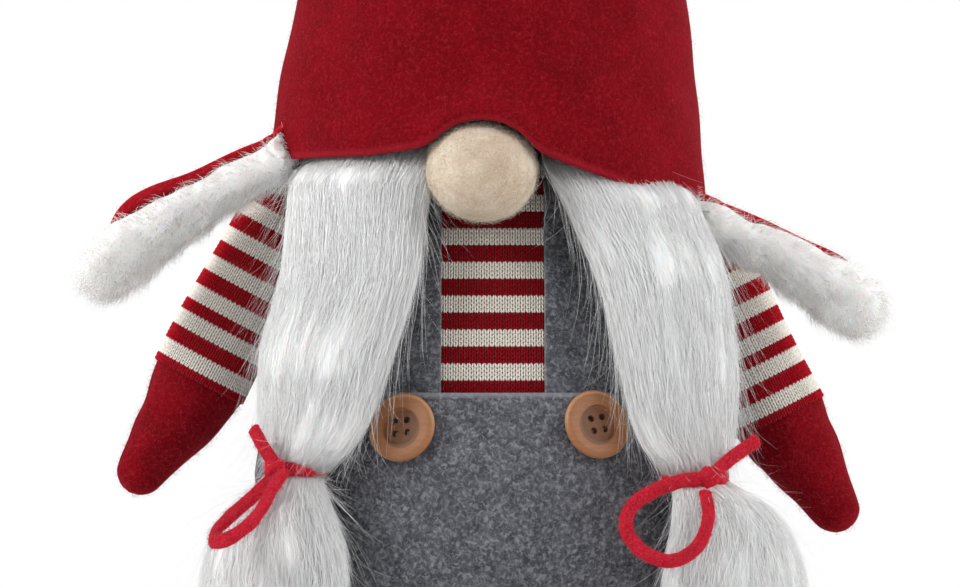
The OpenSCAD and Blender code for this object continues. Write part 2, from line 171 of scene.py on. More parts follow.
def smooth_rows(rows: Array, at: Array) -> Array:
    """Values between rows on a curve through them that also heads from and to their neighbours.

    Args:
        rows: Table whose rows are a step apart.
        at: Row numbers, whole or not.

    Returns:
        The values, with the table's columns last.
    """
    last = len(rows) - 1
    i = np.clip(np.floor(at).astype(int), 0, last - 1)
    f = (at - i)[..., None]
    a, b, c, d = (rows[np.clip(i + k, 0, last)] for k in (-1, 0, 1, 2))
    return 0.5 * (
        2 * b + (c - a) * f + (2 * a - 5 * b + 4 * c - d) * f**2 + (3 * b - a - 3 * c + d) * f**3
    )


def turned(points: Array, degrees: float, axis: int) -> Array:
    """Points turned about one axis of the frame by the right-hand rule."""
    c, s = math.cos(math.radians(degrees)), math.sin(math.radians(degrees))
    j, k = (axis + 1) % 3, (axis + 2) % 3
    out = points.copy()
    out[..., j] = c * points[..., j] - s * points[..., k]
    out[..., k] = s * points[..., j] + c * points[..., k]
    return out


def ring_faces(rows: int, cols: int, wrap: bool = True) -> Array:
    """Quads of a grid of points kept row after row, closed round the columns if wrap is set."""
    r = np.arange(rows - 1)[:, None]
    c = np.arange(cols if wrap else cols - 1)[None, :]
    n = (c + 1) % cols
    corners = [r * cols + c, r * cols + n, (r + 1) * cols + n, (r + 1) * cols + c]
    return np.stack(corners, -1).reshape(-1, 4)


def make_mesh(name: str, points: Array, faces: Sequence[Array], **values: Array) -> bpy.types.Object:
    """Puts points and faces into a new mesh object at the origin, smooth shaded.

    Args:
        name: The piece's name.
        points: Places, one row each.
        faces: Arrays of corner numbers, each with its own count of corners.
        values: Attributes of the points: one number each, or three.

    Returns:
        The object, linked to the scene.
    """
    mesh = bpy.data.meshes.new(name)
    corners = np.concatenate([f.ravel() for f in faces]).astype(np.int32)
    totals = np.concatenate([np.full(len(f), f.shape[1]) for f in faces])
    starts = np.concatenate([[0], np.cumsum(totals)[:-1]]).astype(np.int32)
    mesh.vertices.add(len(points))
    mesh.vertices.foreach_set("co", np.ascontiguousarray(points, np.float32).ravel())
    mesh.loops.add(len(corners))
    mesh.loops.foreach_set("vertex_index", corners)
    mesh.polygons.add(len(starts))
    mesh.polygons.foreach_set("loop_start", starts)
    mesh.polygons.foreach_set("use_smooth", np.ones(len(starts), bool))
    for key, value in values.items():
        kind, field_name = ("FLOAT", "value") if value.ndim == 1 else ("FLOAT_VECTOR", "vector")
        made = mesh.attributes.new(key, kind, "POINT")
        made.data.foreach_set(field_name, np.ascontiguousarray(value, np.float32).ravel())
    mesh.update(calc_edges=True)
    piece = bpy.data.objects.new(name, mesh)
    bpy.context.scene.collection.objects.link(piece)
    return piece


def volume(points: Array, faces: Sequence[Array]) -> float:
    """Signed volume of a closed surface: the sum of a·(b×c)/6 over its triangles."""
    total = 0.0
    for f in faces:
        a = points[f[:, 0]]
        for k in range(1, f.shape[1] - 1):
            total += np.einsum("ij,ij->", a, np.cross(points[f[:, k]], points[f[:, k + 1]])) / 6
    return total


def closed_rings(
    name: str, rings: Array, first: Array | None = None, last: Array | None = None, **values: Array
) -> tuple[bpy.types.Object, Array, list[Array]]:
    """A closed skin over rings of points, with a point at each end.

    Args:
        name: The piece's name.
        rings: Points as (ring, place on it, coordinate).
        first: The point that closes the first ring, or None for the ring's middle.
        last: The point that closes the last ring, or None for the ring's middle.
        values: Attributes of the rings' points, shaped like rings.

    Returns:
        The object, its points and its faces, which look outwards.
    """
    rows, cols = rings.shape[:2]
    first = rings[0].mean(0) if first is None else first
    last = rings[-1].mean(0) if last is None else last
    points = np.concatenate([rings.reshape(-1, 3), [first], [last]])
    c = np.arange(cols)
    n = (c + 1) % cols
    base = (rows - 1) * cols
    caps = np.concatenate(
        [
            np.stack([n, c, np.full(cols, rows * cols)], -1),
            np.stack([base + c, base + n, np.full(cols, rows * cols + 1)], -1),
        ]
    )
    faces = [ring_faces(rows, cols), caps]
    if volume(points, faces) < 0:
        faces = [f[:, ::-1] for f in faces]
    spread = {}
    for key, value in values.items():
        flat = value.reshape(rows * cols, -1)
        ends = np.stack([flat[:cols].mean(0), flat[-cols:].mean(0)])
        spread[key] = np.concatenate([flat, ends]).squeeze()
    return make_mesh(name, points, faces, **spread), points, faces


def grid_normals(rings: Array) -> Array:
    """Unit normals of a grid closed round its columns, from central differences."""
    along = np.gradient(rings, axis=0)
    across = np.roll(rings, -1, 1) - np.roll(rings, 1, 1)
    return unit(np.cross(across, along))


def felt_wall(
    name: str, outer: Array, pole: Array, thickness: float, sign: float, edge_rows: int = 7
) -> tuple[bpy.types.Object, Array, list[Array]]:
    """A closed wall of cloth: an outer grid, a round rim, and the same grid moved in by the thickness.

    Args:
        name: The piece's name.
        outer: Grid from the row next to the pole to the rim.
        pole: The outer surface's closing point.
        thickness: Thickness of the cloth.
        sign: 1 or -1, so that the grid's normals look outwards.
        edge_rows: Rows round the rim.

    Returns:
        The object, its points and its faces.
    """
    normal = grid_normals(outer) * sign
    middle = outer[-1] - normal[-1] * thickness / 2
    ahead = unit(outer[-1] - outer[-2])
    angle = np.linspace(0, math.pi, edge_rows + 2)[1:-1, None, None]
    rim = middle + thickness / 2 * (np.cos(angle) * normal[-1] + np.sin(angle) * ahead)
    inner = (outer - normal * thickness)[::-1]
    inner = np.concatenate([inner[:3], inner[3:-1:4], inner[-1:]])
    rings = np.concatenate([outer, rim, inner])
    inward = unit(outer[0].mean(0) - pole)
    # attribute edge marks the rim rows; the felt finish lightens them, partly for the cut edge's paler fuzz,
    # partly as a painted highlight
    edge = np.zeros(rings.shape[:2])
    edge[len(outer) - 1 : len(outer) + edge_rows] = 1
    return closed_rings(name, rings, pole, pole + inward * thickness, edge=edge)


def strands(name: str, paths: Array, radius: Array, tone: Array, seed: int) -> bpy.types.Object:
    """Fine tapered three-sided hairs, each closed at its root and drawn to a point.

    Args:
        name: The piece's name.
        paths: Points as (hair, place along it, coordinate).
        radius: Radius at each point but the last, shaped like paths.
        tone: One number for each hair, kept as the attribute tone.
        seed: Seed of the direction in which each section starts.

    Returns:
        The object.
    """
    count, steps = paths.shape[:2]
    rng = np.random.default_rng(seed)
    heading = unit(np.gradient(paths, axis=1))
    start = unit(rng.normal(size=(count, 1, 3)))
    u = unit(np.cross(heading, start))
    v = np.cross(heading, u)
    angle = np.arange(3) * ROUND / 3
    ring = (
        paths[:, :-1, None]
        + radius[:, : steps - 1, None, None]
        * (np.cos(angle)[:, None] * u[:, :-1, None] + np.sin(angle)[:, None] * v[:, :-1, None])
    )
    points = np.concatenate([ring.reshape(count, -1, 3), paths[:, -1:]], 1)
    per = points.shape[1]
    one = ring_faces(steps - 1, 3)
    tip = np.array([[per - 4 + k, per - 4 + (k + 1) % 3, per - 1] for k in range(3)])
    shift = (np.arange(count) * per)[:, None, None]
    quads = (one[None] + shift).reshape(-1, 4)
    thirds = (np.concatenate([tip, [[2, 1, 0]]])[None] + shift).reshape(-1, 3)
    return make_mesh(name, points.reshape(-1, 3), [quads, thirds], tone=np.repeat(tone, per))


def scatter(points: Array, faces: Sequence[Array], count: int, seed: int) -> tuple[Array, Array]:
    """Places spread evenly by area over a surface, with the surface's normals there.

    Args:
        points: The surface's points.
        faces: Its faces.
        count: How many places.
        seed: Seed of the spread.

    Returns:
        The places and the unit normals.
    """
    rng = np.random.default_rng(seed)
    thirds = np.concatenate([f[:, [0, k, k + 1]] for f in faces for k in range(1, f.shape[1] - 1)])
    a, b, c = (points[thirds[:, k]] for k in range(3))
    cross = np.cross(b - a, c - a)
    area = np.linalg.norm(cross, axis=1)
    pick = rng.choice(len(thirds), count, p=area / area.sum())
    s, t = rng.uniform(size=(2, count, 1))
    flip = s + t > 1
    s, t = np.where(flip, 1 - s, s), np.where(flip, 1 - t, t)
    return a[pick] + s * (b - a)[pick] + t * (c - a)[pick], unit(cross[pick])


def fuzz(
    name: str,
    roots: Array,
    normals: Array,
    length: tuple[float, float],
    thickness: float,
    lean: float,
    seed: int,
    flow: Array | None = None,
    steps: int = 3,
) -> bpy.types.Object:
    """Short loose fibres that stand on a surface and curl over sideways.

    A fibre's point at share t is its root + length·(t·normal + lean·t²·sideways).

    Args:
        name: The piece's name.
        roots: Places on the surface.
        normals: Normals there.
        length: Shortest and longest fibre.
        thickness: Radius at the root.
        lean: How far a fibre leans over, as a share of its length.
        seed: Seed of the lengths and directions.
        flow: Direction in which all fibres lean, if they have one.
        steps: Points along a fibre.

    Returns:
        The object.
    """
    rng = np.random.default_rng(seed)
    count = len(roots)
    wander = rng.normal(size=(count, 3))
    if flow is not None:
        wander = wander * 0.45 + flow
    sideways = unit(wander - (wander * normals).sum(-1, keepdims=True) * normals)
    long = rng.uniform(*length, size=(count, 1, 1))
    t = np.linspace(0, 1, steps)[None, :, None]
    upright = rng.uniform(0.35, 1, size=(count, 1, 1))
    paths = roots[:, None] + long * (
        t * normals[:, None] * upright + lean * t**2 * sideways[:, None]
    )
    taper = np.linspace(1, 0.35, steps)[None, :] * thickness
    return strands(name, paths, np.repeat(taper, count, 0), rng.uniform(size=count), seed + 1)


# ---- Finishes --------------------------------------------------------------


class Graph:
    """Builds one material's nodes; sockets are passed about as values."""

    def __init__(self, name: str) -> None:
        """Starts a material with its usual shader."""
        self.material = bpy.data.materials.new(name)
        self.material.use_nodes = True
        self.tree = self.material.node_tree
        self.shader = self.tree.nodes["Principled BSDF"]

    def add(self, kind: str, inputs: dict[int | str, Any], **settings: Any) -> bpy.types.Node:
        """Adds a node, sets its options and feeds its inputs with sockets or constants."""
        node = self.tree.nodes.new(kind)
        for key, value in settings.items():
            setattr(node, key, value)
        for key, value in inputs.items():
            self.feed(node.inputs[key], value)
        return node

    def feed(self, socket: bpy.types.NodeSocket, value: Any) -> None:
        """Links a socket to the input, or sets a constant on it."""
        if isinstance(value, bpy.types.NodeSocket):
            self.tree.links.new(value, socket)
        else:
            socket.default_value = value

    def place(self, scale: Sequence[float] = (1, 1, 1), turn: Sequence[float] = (0, 0, 0)) -> Any:
        """The point's place on the object, scaled and turned."""
        where = self.add("ShaderNodeTexCoord", {}).outputs["Object"]
        return self.stretch(where, scale, turn)

    def stretch(self, vector: Any, scale: Sequence[float], turn: Sequence[float] = (0, 0, 0)) -> Any:
        """A vector turned and then scaled."""
        return self.add(
            "ShaderNodeMapping", {"Vector": vector, "Scale": scale, "Rotation": turn}
        ).outputs[0]

    def away(self, vector: Any, spot: Sequence[float]) -> Any:
        """Distance of a place from a fixed spot."""
        inputs = {0: vector, 1: spot}
        return self.add("ShaderNodeVectorMath", inputs, operation="DISTANCE").outputs[1]

    def attribute(self, name: str, output: str = "Fac") -> Any:
        """An attribute of the mesh."""
        return self.add("ShaderNodeAttribute", {}, attribute_name=name).outputs[output]

    def noise(self, scale: float, vector: Any, detail: float = 3, distortion: float = 0) -> Any:
        """Noise from 0 to 1."""
        made = self.add(
            "ShaderNodeTexNoise",
            {"Vector": vector, "Scale": scale, "Detail": detail, "Distortion": distortion},
        )
        return made.outputs[0]

    def level(self, value: Any, low: float, high: float, first: float = 0, last: float = 1) -> Any:
        """Value carried from low..high to first..last and held there."""
        made = self.add(
            "ShaderNodeMapRange",
            {"Value": value, "From Min": low, "From Max": high, "To Min": first, "To Max": last},
        )
        return made.outputs[0]

    def maths(self, operation: str, first: Any, second: Any = 0.0) -> Any:
        """One step of arithmetic."""
        return self.add("ShaderNodeMath", {0: first, 1: second}, operation=operation).outputs[0]

    def paint(self, share: Any, first: Any, second: Any, mode: str = "MIX") -> Any:
        """Two colours mixed; share is how much of the second shows."""
        first, second = (
            (*c, 1.0) if isinstance(c, tuple) and len(c) == 3 else c for c in (first, second)
        )
        made = self.add(
            "ShaderNodeMix", {0: share, 6: first, 7: second}, data_type="RGBA", blend_type=mode
        )
        return made.outputs[2]

    def relief(self, height: Any, strength: float, depth: float, under: Any = None) -> Any:
        """A bump of the given depth, on top of another one if there is one."""
        inputs = {"Height": height, "Strength": strength, "Distance": depth}
        if under is not None:
            inputs["Normal"] = under
        return self.add("ShaderNodeBump", inputs).outputs[0]

    def fibres(self, scale: float, vector: Any, width: float = 0.035) -> Any:
        """Curly fine lines, where a distorted noise passes its middle value."""
        wild = self.noise(scale, vector, 2, 1.6)
        away = self.maths("ABSOLUTE", self.maths("SUBTRACT", wild, 0.5))
        return self.level(away, 0, width, 1, 0)

    def done(self, colour: Any, normal: Any, **constants: float) -> bpy.types.Material:
        """Feeds the shader and returns the material."""
        self.feed(self.shader.inputs["Base Color"], colour)
        if normal is not None:
            self.feed(self.shader.inputs["Normal"], normal)
        for key, value in constants.items():
            self.shader.inputs[key.replace("_", " ")].default_value = value
        return self.material


@dataclass(frozen=True)
class Felt:
    """Pressed wool: blotches, flecks and curly fibres under a soft bloom."""

    name: str
    base: Colour
    deep: Colour
    pale: Colour
    fleck: float = 0.0011
    blotch: float = 0.009
    fleck_share: float = 0.5
    fibre_share: float = 0.35
    depth: float = 0.0005
    sheen: float = 0.25
    specular: float = 0.12

    def build(self) -> bpy.types.Material:
        """The material, patterned by the place on the object."""
        g = Graph(self.name)
        where = g.place()
        blotch = g.noise(1 / self.blotch, where, 4)
        fleck = g.noise(1 / self.fleck, where, 5, 0.7)
        fine = g.fibres(0.55 / self.fleck, where)
        wide = g.fibres(0.24 / self.fleck, g.stretch(where, (1, 1, 1), (0.7, 0.3, 1.1)), 0.02)
        colour = g.paint(g.level(blotch, 0.4, 0.68, 0, self.fleck_share), self.base, self.deep)
        colour = g.paint(g.level(fleck, 0.46, 0.74, 0, self.fleck_share), colour, self.deep)
        colour = g.paint(g.level(fleck, 0.50, 0.24, 0, self.fleck_share), colour, self.pale)
        threads = g.maths("MAXIMUM", fine, wide)
        # rim rows (attribute edge) lightened towards pale: partly the cut edge's paler fuzz, partly a painted
        # highlight
        colour = g.paint(g.maths("MULTIPLY", g.attribute("edge"), 0.45), colour, self.pale)
        colour = g.paint(g.maths("MULTIPLY", threads, self.fibre_share), colour, self.pale)
        coarse = g.relief(fleck, 0.8, self.depth)
        normal = g.relief(threads, 0.5, self.depth * 0.4, coarse)
        g.shader.inputs["Sheen Tint"].default_value = (*self.pale, 1)
        return g.done(
            colour, normal, Roughness=0.95, Sheen_Weight=self.sheen, Sheen_Roughness=0.45,
            Specular_IOR_Level=self.specular,
        )


@dataclass(frozen=True)
class Knit:
    """Two yarns in bands; the attribute band is 1 where the yarn is pale."""

    name: str
    red: Colour
    pale: Colour
    by_height: bool = False
    middle: float = 0.1882

    def build(self) -> bpy.types.Material:
        """The material: yarn colour, soft hairs and the lie of its fibres."""
        g = Graph(self.name)
        where = g.place()
        normal = None
        if self.by_height:
            z = g.add("ShaderNodeSeparateXYZ", {0: where}).outputs[2]
            turn = g.maths("MULTIPLY", g.maths("SUBTRACT", z, self.middle), ROUND / PITCH)
            band = g.level(g.maths("COSINE", turn), -0.06, 0.06)
            around = g.attribute("around")
            column = g.maths("PINGPONG", around, 0.5)
            course = g.maths("MULTIPLY", z, COURSES / PITCH)
            slant = g.maths("ADD", course, g.maths("MULTIPLY", column, 1.6))
            row = g.maths("PINGPONG", slant, 0.5)
            groove = g.level(column, 0.0, 0.16)
            groove = g.maths("MULTIPLY", groove, g.level(column, 0.5, 0.36))
            loops = g.maths("MULTIPLY", groove, g.level(row, 0.0, 0.3))
            normal = g.relief(loops, 1, 0.0009)
        else:
            band = g.attribute("band")
        yarn = g.noise(1600, where, 4, 0.5)
        hairs = g.fibres(700, where)
        shade = g.level(yarn, 0.35, 0.7, 0.72, 1.12)
        colour = g.paint(band, self.red, self.pale)
        if self.by_height:
            # painted shade: the grooves between the loops, where the relief is low, are darkened
            colour = g.paint(g.level(loops, 0, 0.5, 0.55, 0), colour, (0.03, 0.012, 0.012))
        grey = g.add("ShaderNodeCombineColor", {0: shade, 1: shade, 2: shade}).outputs[0]
        colour = g.paint(1.0, colour, grey, "MULTIPLY")
        colour = g.paint(g.maths("MULTIPLY", hairs, 0.04), colour, (0.75, 0.68, 0.62))
        normal = g.relief(yarn, 0.6, 0.0003, normal)
        return g.done(
            colour, normal, Roughness=0.95, Sheen_Weight=0.03, Sheen_Roughness=0.5, Specular_IOR_Level=0.05
        )


@dataclass(frozen=True)
class Fur:
    """Fine hair: each strand keeps its own tone, from shaded to pale."""

    name: str
    shaded: Colour
    pale: Colour
    roughness: float = 0.55
    specular: float = 0.3

    def build(self) -> bpy.types.Material:
        """The material for strands, by the attribute tone and slow patches."""
        g = Graph(self.name)
        patch = g.noise(70, g.place(), 2)
        own = g.maths("MULTIPLY", g.attribute("tone"), 0.6)
        tone = g.maths("ADD", own, g.level(patch, 0.3, 0.7, 0, 0.4))
        colour = g.paint(tone, self.shaded, self.pale)
        return g.done(
            colour, None, Roughness=self.roughness, Sheen_Weight=0.1, Sheen_Roughness=0.5,
            Specular_IOR_Level=self.specular,
        )


@dataclass(frozen=True)
class FurBed:
    """The dense hair beneath loose strands, streaked along the attribute flow."""

    name: str
    shaded: Colour
    pale: Colour
    depth: float = 0.0009
    sheen: float = 0.12

    def build(self) -> bpy.types.Material:
        """The material: long streaks in colour and relief."""
        g = Graph(self.name)
        flow = g.attribute("flow", "Vector")
        streak = g.noise(1, flow, 4, 0.3)
        fine = g.noise(3.1, flow, 3, 0.2)
        colour = g.paint(g.level(streak, 0.36, 0.6), self.shaded, self.pale)
        colour = g.paint(g.level(fine, 0.55, 0.35, 0, 0.3), colour, self.shaded)
        normal = g.relief(fine, 0.6, self.depth * 0.5, g.relief(streak, 0.7, self.depth))
        return g.done(
            colour, normal, Roughness=0.8, Sheen_Weight=self.sheen, Sheen_Roughness=0.5,
            Subsurface_Weight=0.35, Subsurface_Scale=0.004, Specular_IOR_Level=0.2,
        )


@dataclass(frozen=True)
class Wool:
    """Needle-felted wool: matted curls, faint dimples and a downy bloom."""

    name: str
    base: Colour
    warm: Colour
    pale: Colour
    worn: tuple[float, float, float] = (-0.001, -0.086, 0.257)

    def build(self) -> bpy.types.Material:
        """The material, patterned by the place on the object."""
        g = Graph(self.name)
        where = g.place()
        patch = g.noise(75, where, 4, 0.8)
        curl = g.fibres(420, where, 0.06)
        down = g.noise(1300, where, 5, 1.2)
        colour = g.paint(g.level(patch, 0.42, 0.66, 0, 0.62), self.base, self.warm)
        # a darker tan patch round a spot on the front middle of the ball
        near = g.level(g.away(where, self.worn), 0.021, 0.006, 0, 0.95)
        front_tan = g.maths("MULTIPLY", near, g.level(patch, 0.3, 0.55, 0.35, 1))
        colour = g.paint(front_tan, colour, self.warm)
        colour = g.paint(g.level(down, 0.52, 0.72, 0, 0.3), colour, self.warm)
        colour = g.paint(g.maths("MULTIPLY", curl, 0.4), colour, self.pale)
        normal = g.relief(curl, 0.4, 0.0003, g.relief(down, 0.8, 0.0006))
        return g.done(
            colour, normal, Roughness=0.95, Sheen_Weight=0.15, Sheen_Roughness=0.4, Specular_IOR_Level=0.1
        )


@dataclass(frozen=True)
class Wood:
    """Turned hardwood: growth bands, short pores, a sunk middle darkened by painted shade, a pale line round the
    rim that is a painted highlight, and a thin wax coat.
    """

    name: str
    base: Colour
    dark: Colour
    pale: Colour
    middle: tuple[float, float, float] = (0, 0, 0)

    def build(self) -> bpy.types.Material:
        """The material: grain runs across each button."""
        g = Graph(self.name)
        where = g.place()
        grain = g.noise(1, g.stretch(where, (160, 160, 900)), 5, 0.9)
        pores = g.noise(1, g.stretch(where, (420, 420, 5200)), 2)
        rings = g.add(
            "ShaderNodeTexWave",
            {"Vector": where, "Scale": 150, "Distortion": 5, "Detail": 3, "Detail Scale": 1.4},
            wave_type="BANDS",
            bands_direction="Z",
        ).outputs[1]
        colour = g.paint(g.level(grain, 0.32, 0.68), self.dark, self.base)
        colour = g.paint(g.level(rings, 0.3, 0.9, 0, 0.25), colour, self.pale)
        holes = g.level(pores, 0.64, 0.76)
        colour = g.paint(g.maths("MULTIPLY", holes, 0.3), colour, self.dark)
        off = g.away(where, self.middle)
        # painted shade: the sunk middle of the button is darkened
        sunk = g.level(off, 0.0075, 0.0068, 0, 0.72)
        colour = g.paint(sunk, colour, (0.125, 0.047, 0.016))
        # painted highlight: a pale line round the button's rounded rim
        edge = g.maths("MULTIPLY", g.level(off, 0.0114, 0.0121), g.level(off, 0.0131, 0.0124))
        colour = g.paint(g.maths("MULTIPLY", edge, 0.35), colour, (0.62, 0.38, 0.20))
        normal = g.relief(holes, -0.3, 0.00006, g.relief(grain, 0.15, 0.0001))
        return g.done(
            colour, normal, Roughness=0.5, Coat_Weight=0.08, Coat_Roughness=0.4, Specular_IOR_Level=0.35
        )


@dataclass(frozen=True)
class Grainy:
    """A hidden or plain material with its own small grain: fill, cord, wire, glue, sole."""

    name: str
    base: Colour
    other: Colour
    grain: float
    depth: float
    roughness: float = 0.8
    metallic: float = 0.0
    stretch: tuple[float, float, float] = (1, 1, 1)

    def build(self) -> bpy.types.Material:
        """The material, patterned by the place on the object."""
        g = Graph(self.name)
        where = g.place(self.stretch)
        rough = g.noise(1 / self.grain, where, 5, 0.4)
        lines = g.fibres(0.5 / self.grain, where)
        colour = g.paint(g.level(rough, 0.35, 0.65), self.base, self.other)
        colour = g.paint(g.maths("MULTIPLY", lines, 0.25), colour, self.other)
        normal = g.relief(rough, 0.7, self.depth)
        return g.done(colour, normal, Roughness=self.roughness, Metallic=self.metallic)


@functools.cache
def finish(kind: Any) -> bpy.types.Material:
    """The material of a finish, built once."""
    return kind.build()


RED_FELT = Felt(
    "red_felt", (0.180, 0.0005, 0.0042), (0.100, 0.0002, 0.0015), (0.32, 0.015, 0.026),
    fleck=0.0012, blotch=0.013, fleck_share=0.55, fibre_share=0.20, sheen=1.0, specular=0.07,
)
# painted light: a brighter copy of the red felt for the ear flaps' felt, which faces away from the lamps
FLAP_FELT_LIT = replace(
    RED_FELT, name="flap_red_felt", base=(0.44, 0.006, 0.014), deep=(0.32, 0.003, 0.008), pale=(0.60, 0.05, 0.07)
)
RED_FUZZ = Fur("red_felt_fibres", (0.26, 0.003, 0.009), (0.46, 0.035, 0.05), 0.8, 0.1)
GREY_FELT = Felt(
    "grey_felt", (0.100, 0.100, 0.112), (0.034, 0.035, 0.042), (0.30, 0.305, 0.325),
    fleck=0.0016, blotch=0.0045, fleck_share=0.8, fibre_share=0.28, depth=0.0007,
)
GREY_FUZZ = Fur("grey_felt_fibres", (0.08, 0.08, 0.09), (0.42, 0.42, 0.45), 0.8, 0.2)
YARN = Knit("striped_yarn", (0.250, 0.0008, 0.0060), (0.80, 0.74, 0.65))
# painted light: a brighter copy of the striped yarn for the sleeves, which face the side lamps
SLEEVE_YARN_LIT = replace(
    YARN, name="striped_sleeve_yarn", red=(0.40, 0.0022, 0.0110), pale=(0.90, 0.85, 0.77)
)
# painted shade: darker copies of the striped yarn for the sweater and sleeve shells that show between and
# beneath the loops
SHADED_KNIT = Knit("striped_knit", (0.110, 0.0010, 0.004), (0.26, 0.22, 0.18), True)
SHADED_LINING = Knit("striped_lining", (0.110, 0.0010, 0.004), (0.26, 0.22, 0.18))
HAIR = Fur("white_hair", (0.87, 0.866, 0.856), (0.94, 0.937, 0.93), 0.65, 0.2)
# painted shade: a darker copy of the white hair for the bed beneath the strands, standing in for their
# self-shadow
SHADED_HAIR_BED = FurBed("white_hair_bed", (0.73, 0.724, 0.712), (0.81, 0.805, 0.795), 0.0001)
PLUSH = Fur("plush_tufts", (0.95, 0.93, 0.90), (0.99, 0.975, 0.95), 0.8, 0.2)
PLUSH_BED = FurBed("plush_bed", (0.95, 0.93, 0.90), (0.985, 0.97, 0.945), 0.0003, 0.6)
NOSE_WOOL = Wool("nose_wool", (0.71, 0.60, 0.46), (0.50, 0.36, 0.25), (0.82, 0.74, 0.62))
NOSE_FUZZ = Fur("nose_down", (0.68, 0.58, 0.45), (0.82, 0.75, 0.64), 0.9)
BUTTON_WOOD = Wood("button_wood", (0.300, 0.122, 0.046), (0.255, 0.098, 0.035), (0.34, 0.15, 0.062))
TIE_FELT = Felt(
    "tie_felt", (0.50, 0.006, 0.022), (0.30, 0.002, 0.010), (0.62, 0.06, 0.085),
    fleck=0.0009, blotch=0.004, sheen=0.3,
)
TIE_FUZZ = Fur("tie_felt_fibres", (0.44, 0.006, 0.022), (0.64, 0.06, 0.09), 0.8, 0.1)
FLOOR = Grainy("pale_floor", (0.86, 0.86, 0.86), (0.84, 0.84, 0.84), 0.05, 0.0001, 0.9)
HIDDEN = {
    "pellet_bag": Grainy("pellet_sack", (0.62, 0.61, 0.58), (0.42, 0.41, 0.39), 0.003, 0.0015),
    "button_glue": Grainy("glue", (0.70, 0.66, 0.50), (0.58, 0.54, 0.38), 0.001, 0.0001, 0.3),
    "shoulder_thread": Grainy(
        "thread", (0.55, 0.54, 0.52), (0.30, 0.30, 0.29), 0.0006, 0.0004, 0.7, stretch=(0.3, 1, 1)
    ),
    "sole": Grainy("sole_felt", (0.030, 0.029, 0.030), (0.085, 0.082, 0.082), 0.0012, 0.0006, 0.95),
}
WIRE = Grainy("hat_wire", (0.52, 0.52, 0.53), (0.36, 0.35, 0.35), 0.0008, 0.0001, 0.35, 1.0, (1, 1, 0.1))


def settle(
    piece: bpy.types.Object, coat: Any, body: str | None, stands_for: Sequence[str] = ()
) -> bpy.types.Object:
    """Dresses a piece and fixes it to its body.

    Args:
        piece: The finished mesh object.
        coat: Its finish.
        body: The body it moves with, or None to leave it fixed to no body.
        stands_for: CAD nodes that it takes the place of.

    Returns:
        The piece.
    """
    piece.data.materials.append(finish(coat))
    if body is not None:
        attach(piece, body)
    if stands_for:
        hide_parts(*stands_for)
    LOG.info("%s: %d faces, body %s", piece.name, len(piece.data.polygons), body or "two")
    return piece


@dataclass(frozen=True)
class Down:
    """The short fibres that stand off a cloth."""

    coat: Fur
    slot: str
    longest: float
    lean: float
    shortest: float = 0.0008
    thickness: float = 0.00004

    def grow(
        self, name: str, roots: Array, normals: Array, seed: int, body: str | None
    ) -> bpy.types.Object:
        """Makes the fibres on their roots and fixes them to a body.

        Args:
            name: The piece's name.
            roots: Places on the cloth.
            normals: Normals there.
            seed: Seed of the fibres' shapes.
            body: The body that they move with, or None to leave them fixed to no body.

        Returns:
            The piece.
        """
        length = self.shortest, self.longest
        made = fuzz(name, roots, normals, length, self.thickness, self.lean, seed)
        return settle(made, self.coat, body)


GREY_DOWN = Down(GREY_FUZZ, "grey_felt", 0.0026, 1.3)
LEG_DOWN = Down(GREY_FUZZ, "grey_felt", 0.0024, 1.3)
BOOT_DOWN = Down(RED_FUZZ, "red_felt", 0.0022, 1.3)
RED_DOWN = Down(RED_FUZZ, "red_felt", 0.0030, 1.2)
NOSE_DOWN = Down(NOSE_FUZZ, "nose_wool", 0.0022, 1.6, thickness=0.00005)
TIE_DOWN = Down(TIE_FUZZ, "tie_cord", 0.0020, 1.1, 0.0006, 0.00006)


# ---- Trunk, sweater and dungarees -------------------------------------------


@dataclass
class Trunk:
    """The stuffed trunk's outline: a power curve up to the neck and a superellipse below."""

    belly_r: float = 0.087
    belly_z: float = 0.150
    neck_r: float = 0.042
    neck_z: float = 0.270
    low_z: float = 0.070
    top_z: float = 0.282
    felt: float = 0.0025
    upper_power: float = 1.35
    lower_power: float = 2.8

    def radius(self, z: Array, inset: float = 0.0) -> Array:
        """Radius at height z, with the surface moved in by inset."""
        z = np.asarray(z, float)
        up = np.clip((z - self.belly_z) / (self.neck_z - self.belly_z), 0, None) ** self.upper_power
        depth = self.belly_z - self.low_z - inset
        down = np.clip((self.belly_z - z) / depth, 0, 1) ** self.lower_power
        high = self.belly_r - inset - (self.belly_r - self.neck_r) * up
        low = (self.belly_r - inset) * (1 - down) ** (1 / self.lower_power)
        return np.where(z >= self.belly_z, high, low)

    def outline(self, inset: float, top: float, steps: int = 400) -> tuple[Array, Array, Array]:
        """Heights and radii from the lowest point to top, with the length along the curve."""
        t = np.linspace(0, math.pi / 2, steps)
        depth = self.belly_z - self.low_z - inset
        low_z = self.belly_z - depth * np.cos(t) ** (2 / self.lower_power)
        z = np.concatenate([low_z, np.linspace(self.belly_z, top, steps)[1:]])
        r = self.radius(z, inset)
        run = np.concatenate([[0], np.cumsum(np.hypot(np.diff(z), np.diff(r)))])
        return z, r, run

    def at(self, x: Array, z: Array, facing: Facing, inset: float) -> Array:
        """Points of the surface at x and z, in front or behind."""
        r = self.radius(z, inset)
        y = facing.value * np.sqrt(np.maximum(r**2 - x**2, 1e-8))
        return np.stack([x + 0 * r, y, z + 0 * r], -1)

    def normal(self, points: Array) -> Array:
        """Outward normals at points of the surface, from the outline's slope."""
        z = points[..., 2]
        slope = (self.radius(z + MM) - self.radius(z - MM)) / (2 * MM)
        flat = unit(points[..., :2])
        return unit(np.concatenate([flat, -slope[..., None]], -1))


TRUNK = Trunk()


def band_of(z: Array) -> Array:
    """1 where a course at height z is pale: pale within a quarter pitch of a band's middle."""
    away = np.abs((z - SHADED_KNIT.middle + PITCH / 2) % PITCH - PITCH / 2)
    return (away < PITCH / 4).astype(float)


